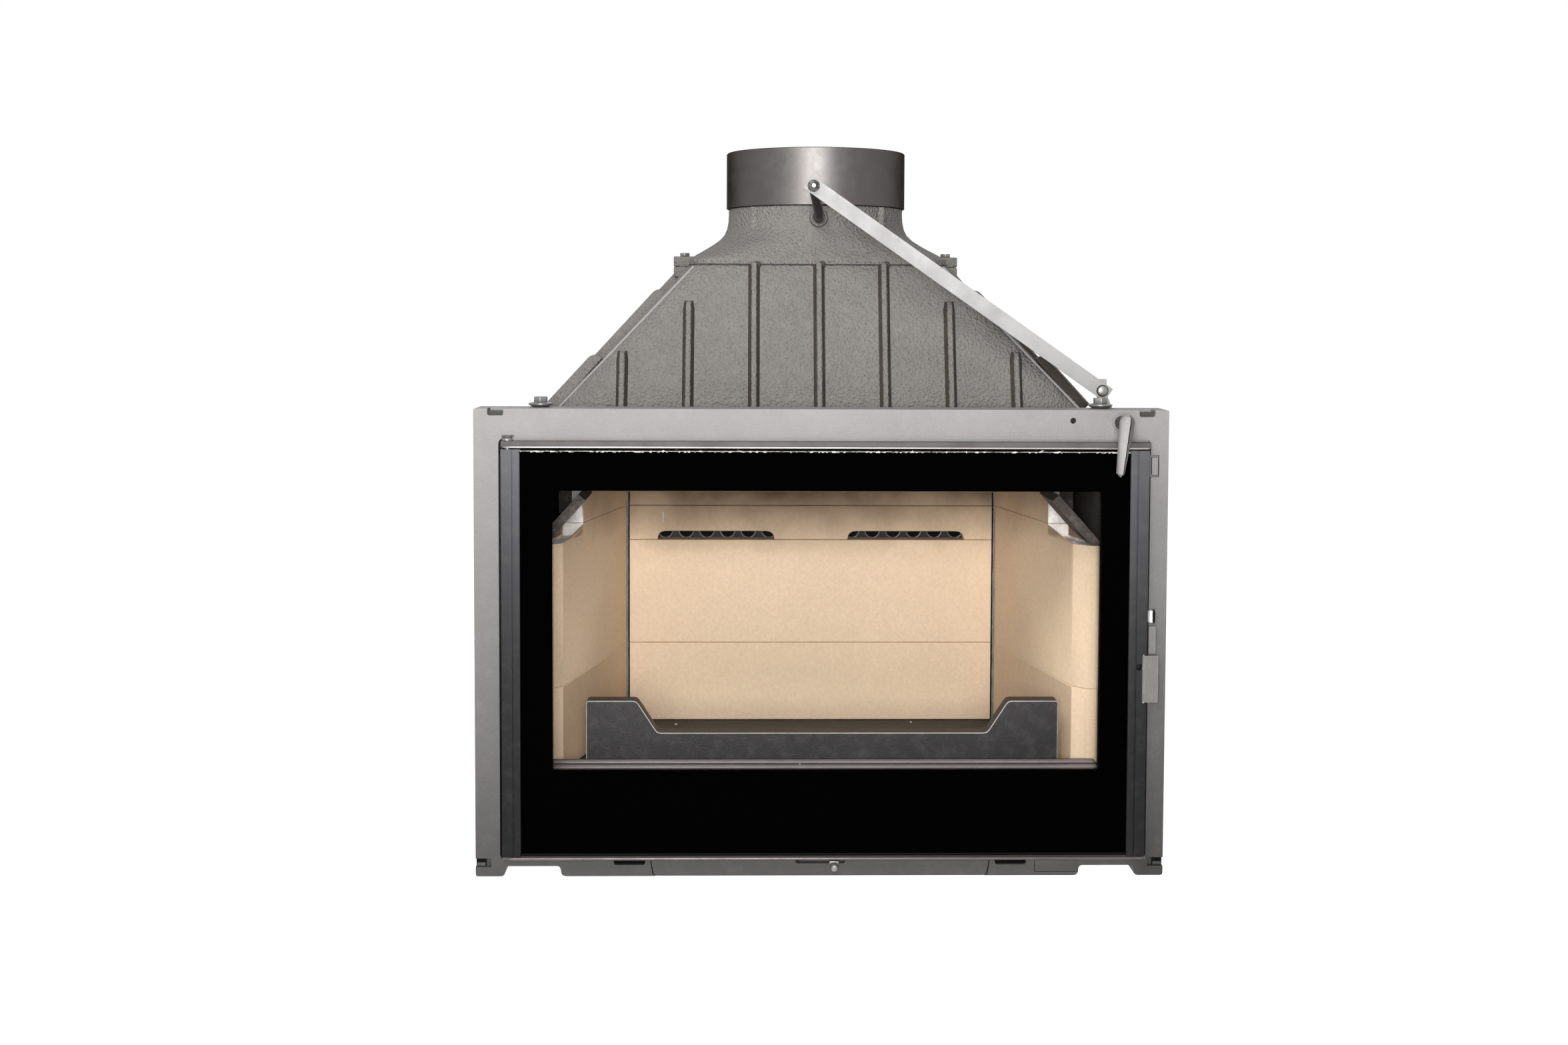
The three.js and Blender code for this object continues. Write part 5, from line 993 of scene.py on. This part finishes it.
# bent rod: it leaves the neck level, sweeps up and ends in a flat lug behind the link bar
rod = {"radius": 5.0, "pinX": -8.0, "pinZ": 703.3}
route = [(0, 321, 674), (0, 240, 674), (0, 150, 674), (0, 124, 674), (0, 113, 674), (-0.4, 104, 675.8),
         (-1.6, 94, 681.5), (-3.6, 85, 688.6), (-5.6, 77, 695), (-7.0, 70, 699.6), (-7.8, 64.5, 702.4),
         (-8, 61, 703.3)]
curve = bpy.data.curves.new("damperRodRoute", "CURVE")
curve.dimensions = "3D"
curve.bevel_depth = rod["radius"] / 1000
curve.bevel_resolution = 8
curve.use_fill_caps = True
spline = curve.splines.new("NURBS")
spline.points.add(len(route) - 1)
for point, (x, y, z) in zip(spline.points, route):
    point.co = (x / 1000, (y + frontPlane) / 1000, z / 1000, 1)
spline.order_u = 4
spline.use_endpoint_u = True
spline.resolution_u = 8
holder = newObject("damperRodRoute", curve)
rodMesh = bpy.data.meshes.new_from_object(holder.evaluated_get(bpy.context.evaluated_depsgraph_get()))
bpy.data.objects.remove(holder)
bm = bmesh.new()
bm.from_mesh(rodMesh)
bmesh.ops.remove_doubles(bm, verts=bm.verts, dist=1e-6)
bmesh.ops.scale(bm, vec=(1000, 1000, 1000), verts=bm.verts)
bmesh.ops.translate(bm, vec=(0, -frontPlane, 0), verts=bm.verts)
turnLug = (Matrix.Translation((rod["pinX"], 60.6, rod["pinZ"])) @ Matrix.Rotation(math.radians(-33), 4, "Y")
           @ Matrix.Diagonal((13.5, 4, 11, 1)))
roundEdges(bm, bmesh.ops.create_cube(bm, size=1, matrix=turnLug)["verts"], 0.8)
pinLine = (rod["pinX"], 0, rod["pinZ"])
turned(bm, [(0, 46.4), (1.9, 46.4), (2.6, 46.9), (3, 47.8), (3, 60), (0, 60)], pinLine, (0, 1, 0), 28)
finishPiece(bm, "damperRod", rodSteel, "door_steel", "damper_shaft", "damper", smooth=40)
dressNode("damper_disc", hoodIron, 0.6)

bm = bmesh.new()
hexHead(bm, (rod["pinX"], 52.2, rod["pinZ"]), (0, -1, 0), 10, 4.0)
washer = [(3.2, 51.4), (5.6, 51.4), (6.2, 52.0), (6.2, 53.1), (3.2, 53.1), (3.2, 51.4)]
turned(bm, washer, pinLine, (0, 1, 0), 40)
finishPiece(bm, "damperNut", rodSteel, "zinc", "link_nut", "damper")
turnedPiece(
    "damperStudTip", chrome, "zinc", [(0, 46.1), (1.4, 46.15), (2.2, 46.5), (2.2, 47.2), (0, 47.2)],
    pinLine, (0, 1, 0), 24, body="damper")
print("linkage done")


# 1 for the rays that see a surface from the camera, in a reflection or through glass
def seenMask(tree):
    rays = addNode(tree, "LightPath").outputs
    mirrored = mathNode(tree, "MAXIMUM", rays["Is Glossy Ray"], rays["Is Transmission Ray"])
    return mathNode(tree, "MAXIMUM", rays["Is Camera Ray"], mirrored)


floorLook = {"half": 30, "drop": 0.0004, "glow": 0.9}
bm = bmesh.new()
bmesh.ops.create_grid(bm, x_segments=1, y_segments=1, size=floorLook["half"])
bmesh.ops.translate(bm, vec=(0, 0, -floorLook["drop"]), verts=bm.verts)
floorMesh = newMesh(bm, "floor")
floor = newObject("floor", floorMesh)
material, tree, shader = newMaterial("paleFloor", Roughness=0.9, Base_Color=(0.92, 0.92, 0.92, 1),
                                     Specular_IOR_Level=0.1, Emission_Color=(1, 1, 1, 1))
floorMesh.materials.append(material)
glow = mathNode(tree, "MULTIPLY", seenMask(tree), floorLook["glow"])
tree.links.new(glow, shader.inputs["Emission Strength"])

world = bpy.data.worlds.new("studio")
bpy.context.scene.world = world
world.use_nodes = True
tree = world.node_tree
background = tree.nodes["Background"]
ambient = 0.1
strength = mathNode(tree, "ADD", mathNode(tree, "MULTIPLY", seenMask(tree), 1 - ambient), ambient)
tree.links.new(strength, background.inputs["Strength"])
background.inputs["Color"].default_value = (1, 1, 1, 1)

lights = {
    "overheadBox": {"at": (-0.45, -1.1, 1.5), "to": (0, -0.15, 0.45), "size": (0.8, 0.6), "power": 18},
    "frontBox": {"at": (-0.14, -2.4, 0.75), "to": (0, 0, 0.25), "size": (0.9, 0.9), "power": 60},
}
for name, look in lights.items():
    data = bpy.data.lights.new(name, "AREA")
    data.shape = "RECTANGLE"
    data.size, data.size_y = look["size"]
    data.energy = look["power"]
    lamp = newObject(name, data)
    lamp.location = look["at"]
    aim = Vector(look["to"]) - Vector(look["at"])
    lamp.rotation_euler = aim.to_track_quat("-Z", "Y").to_euler()

shot = {"x": -0.0701, "distance": 1.7417, "z": 0.5768, "pitch": 2.911, "yaw": 1.033, "roll": 0.211,
        "lens": 39.89, "shift": -0.08}
optics = bpy.data.cameras.new("camera")
optics.lens = shot["lens"]
optics.sensor_width = 36
optics.shift_y = shot["shift"]
optics.clip_start = 0.05
camera = newObject("camera", optics)
camera.matrix_world = (Matrix.Translation((shot["x"], frontPlane / 1000 - shot["distance"], shot["z"]))
                       @ Matrix.Rotation(math.radians(-shot["yaw"]), 4, "Z")
                       @ Matrix.Rotation(math.radians(90 - shot["pitch"]), 4, "X")
                       @ Matrix.Rotation(math.radians(shot["roll"]), 4, "Z"))
bpy.context.scene.camera = camera
bpy.context.scene.view_settings.view_transform = "Standard"

print("scene ready")
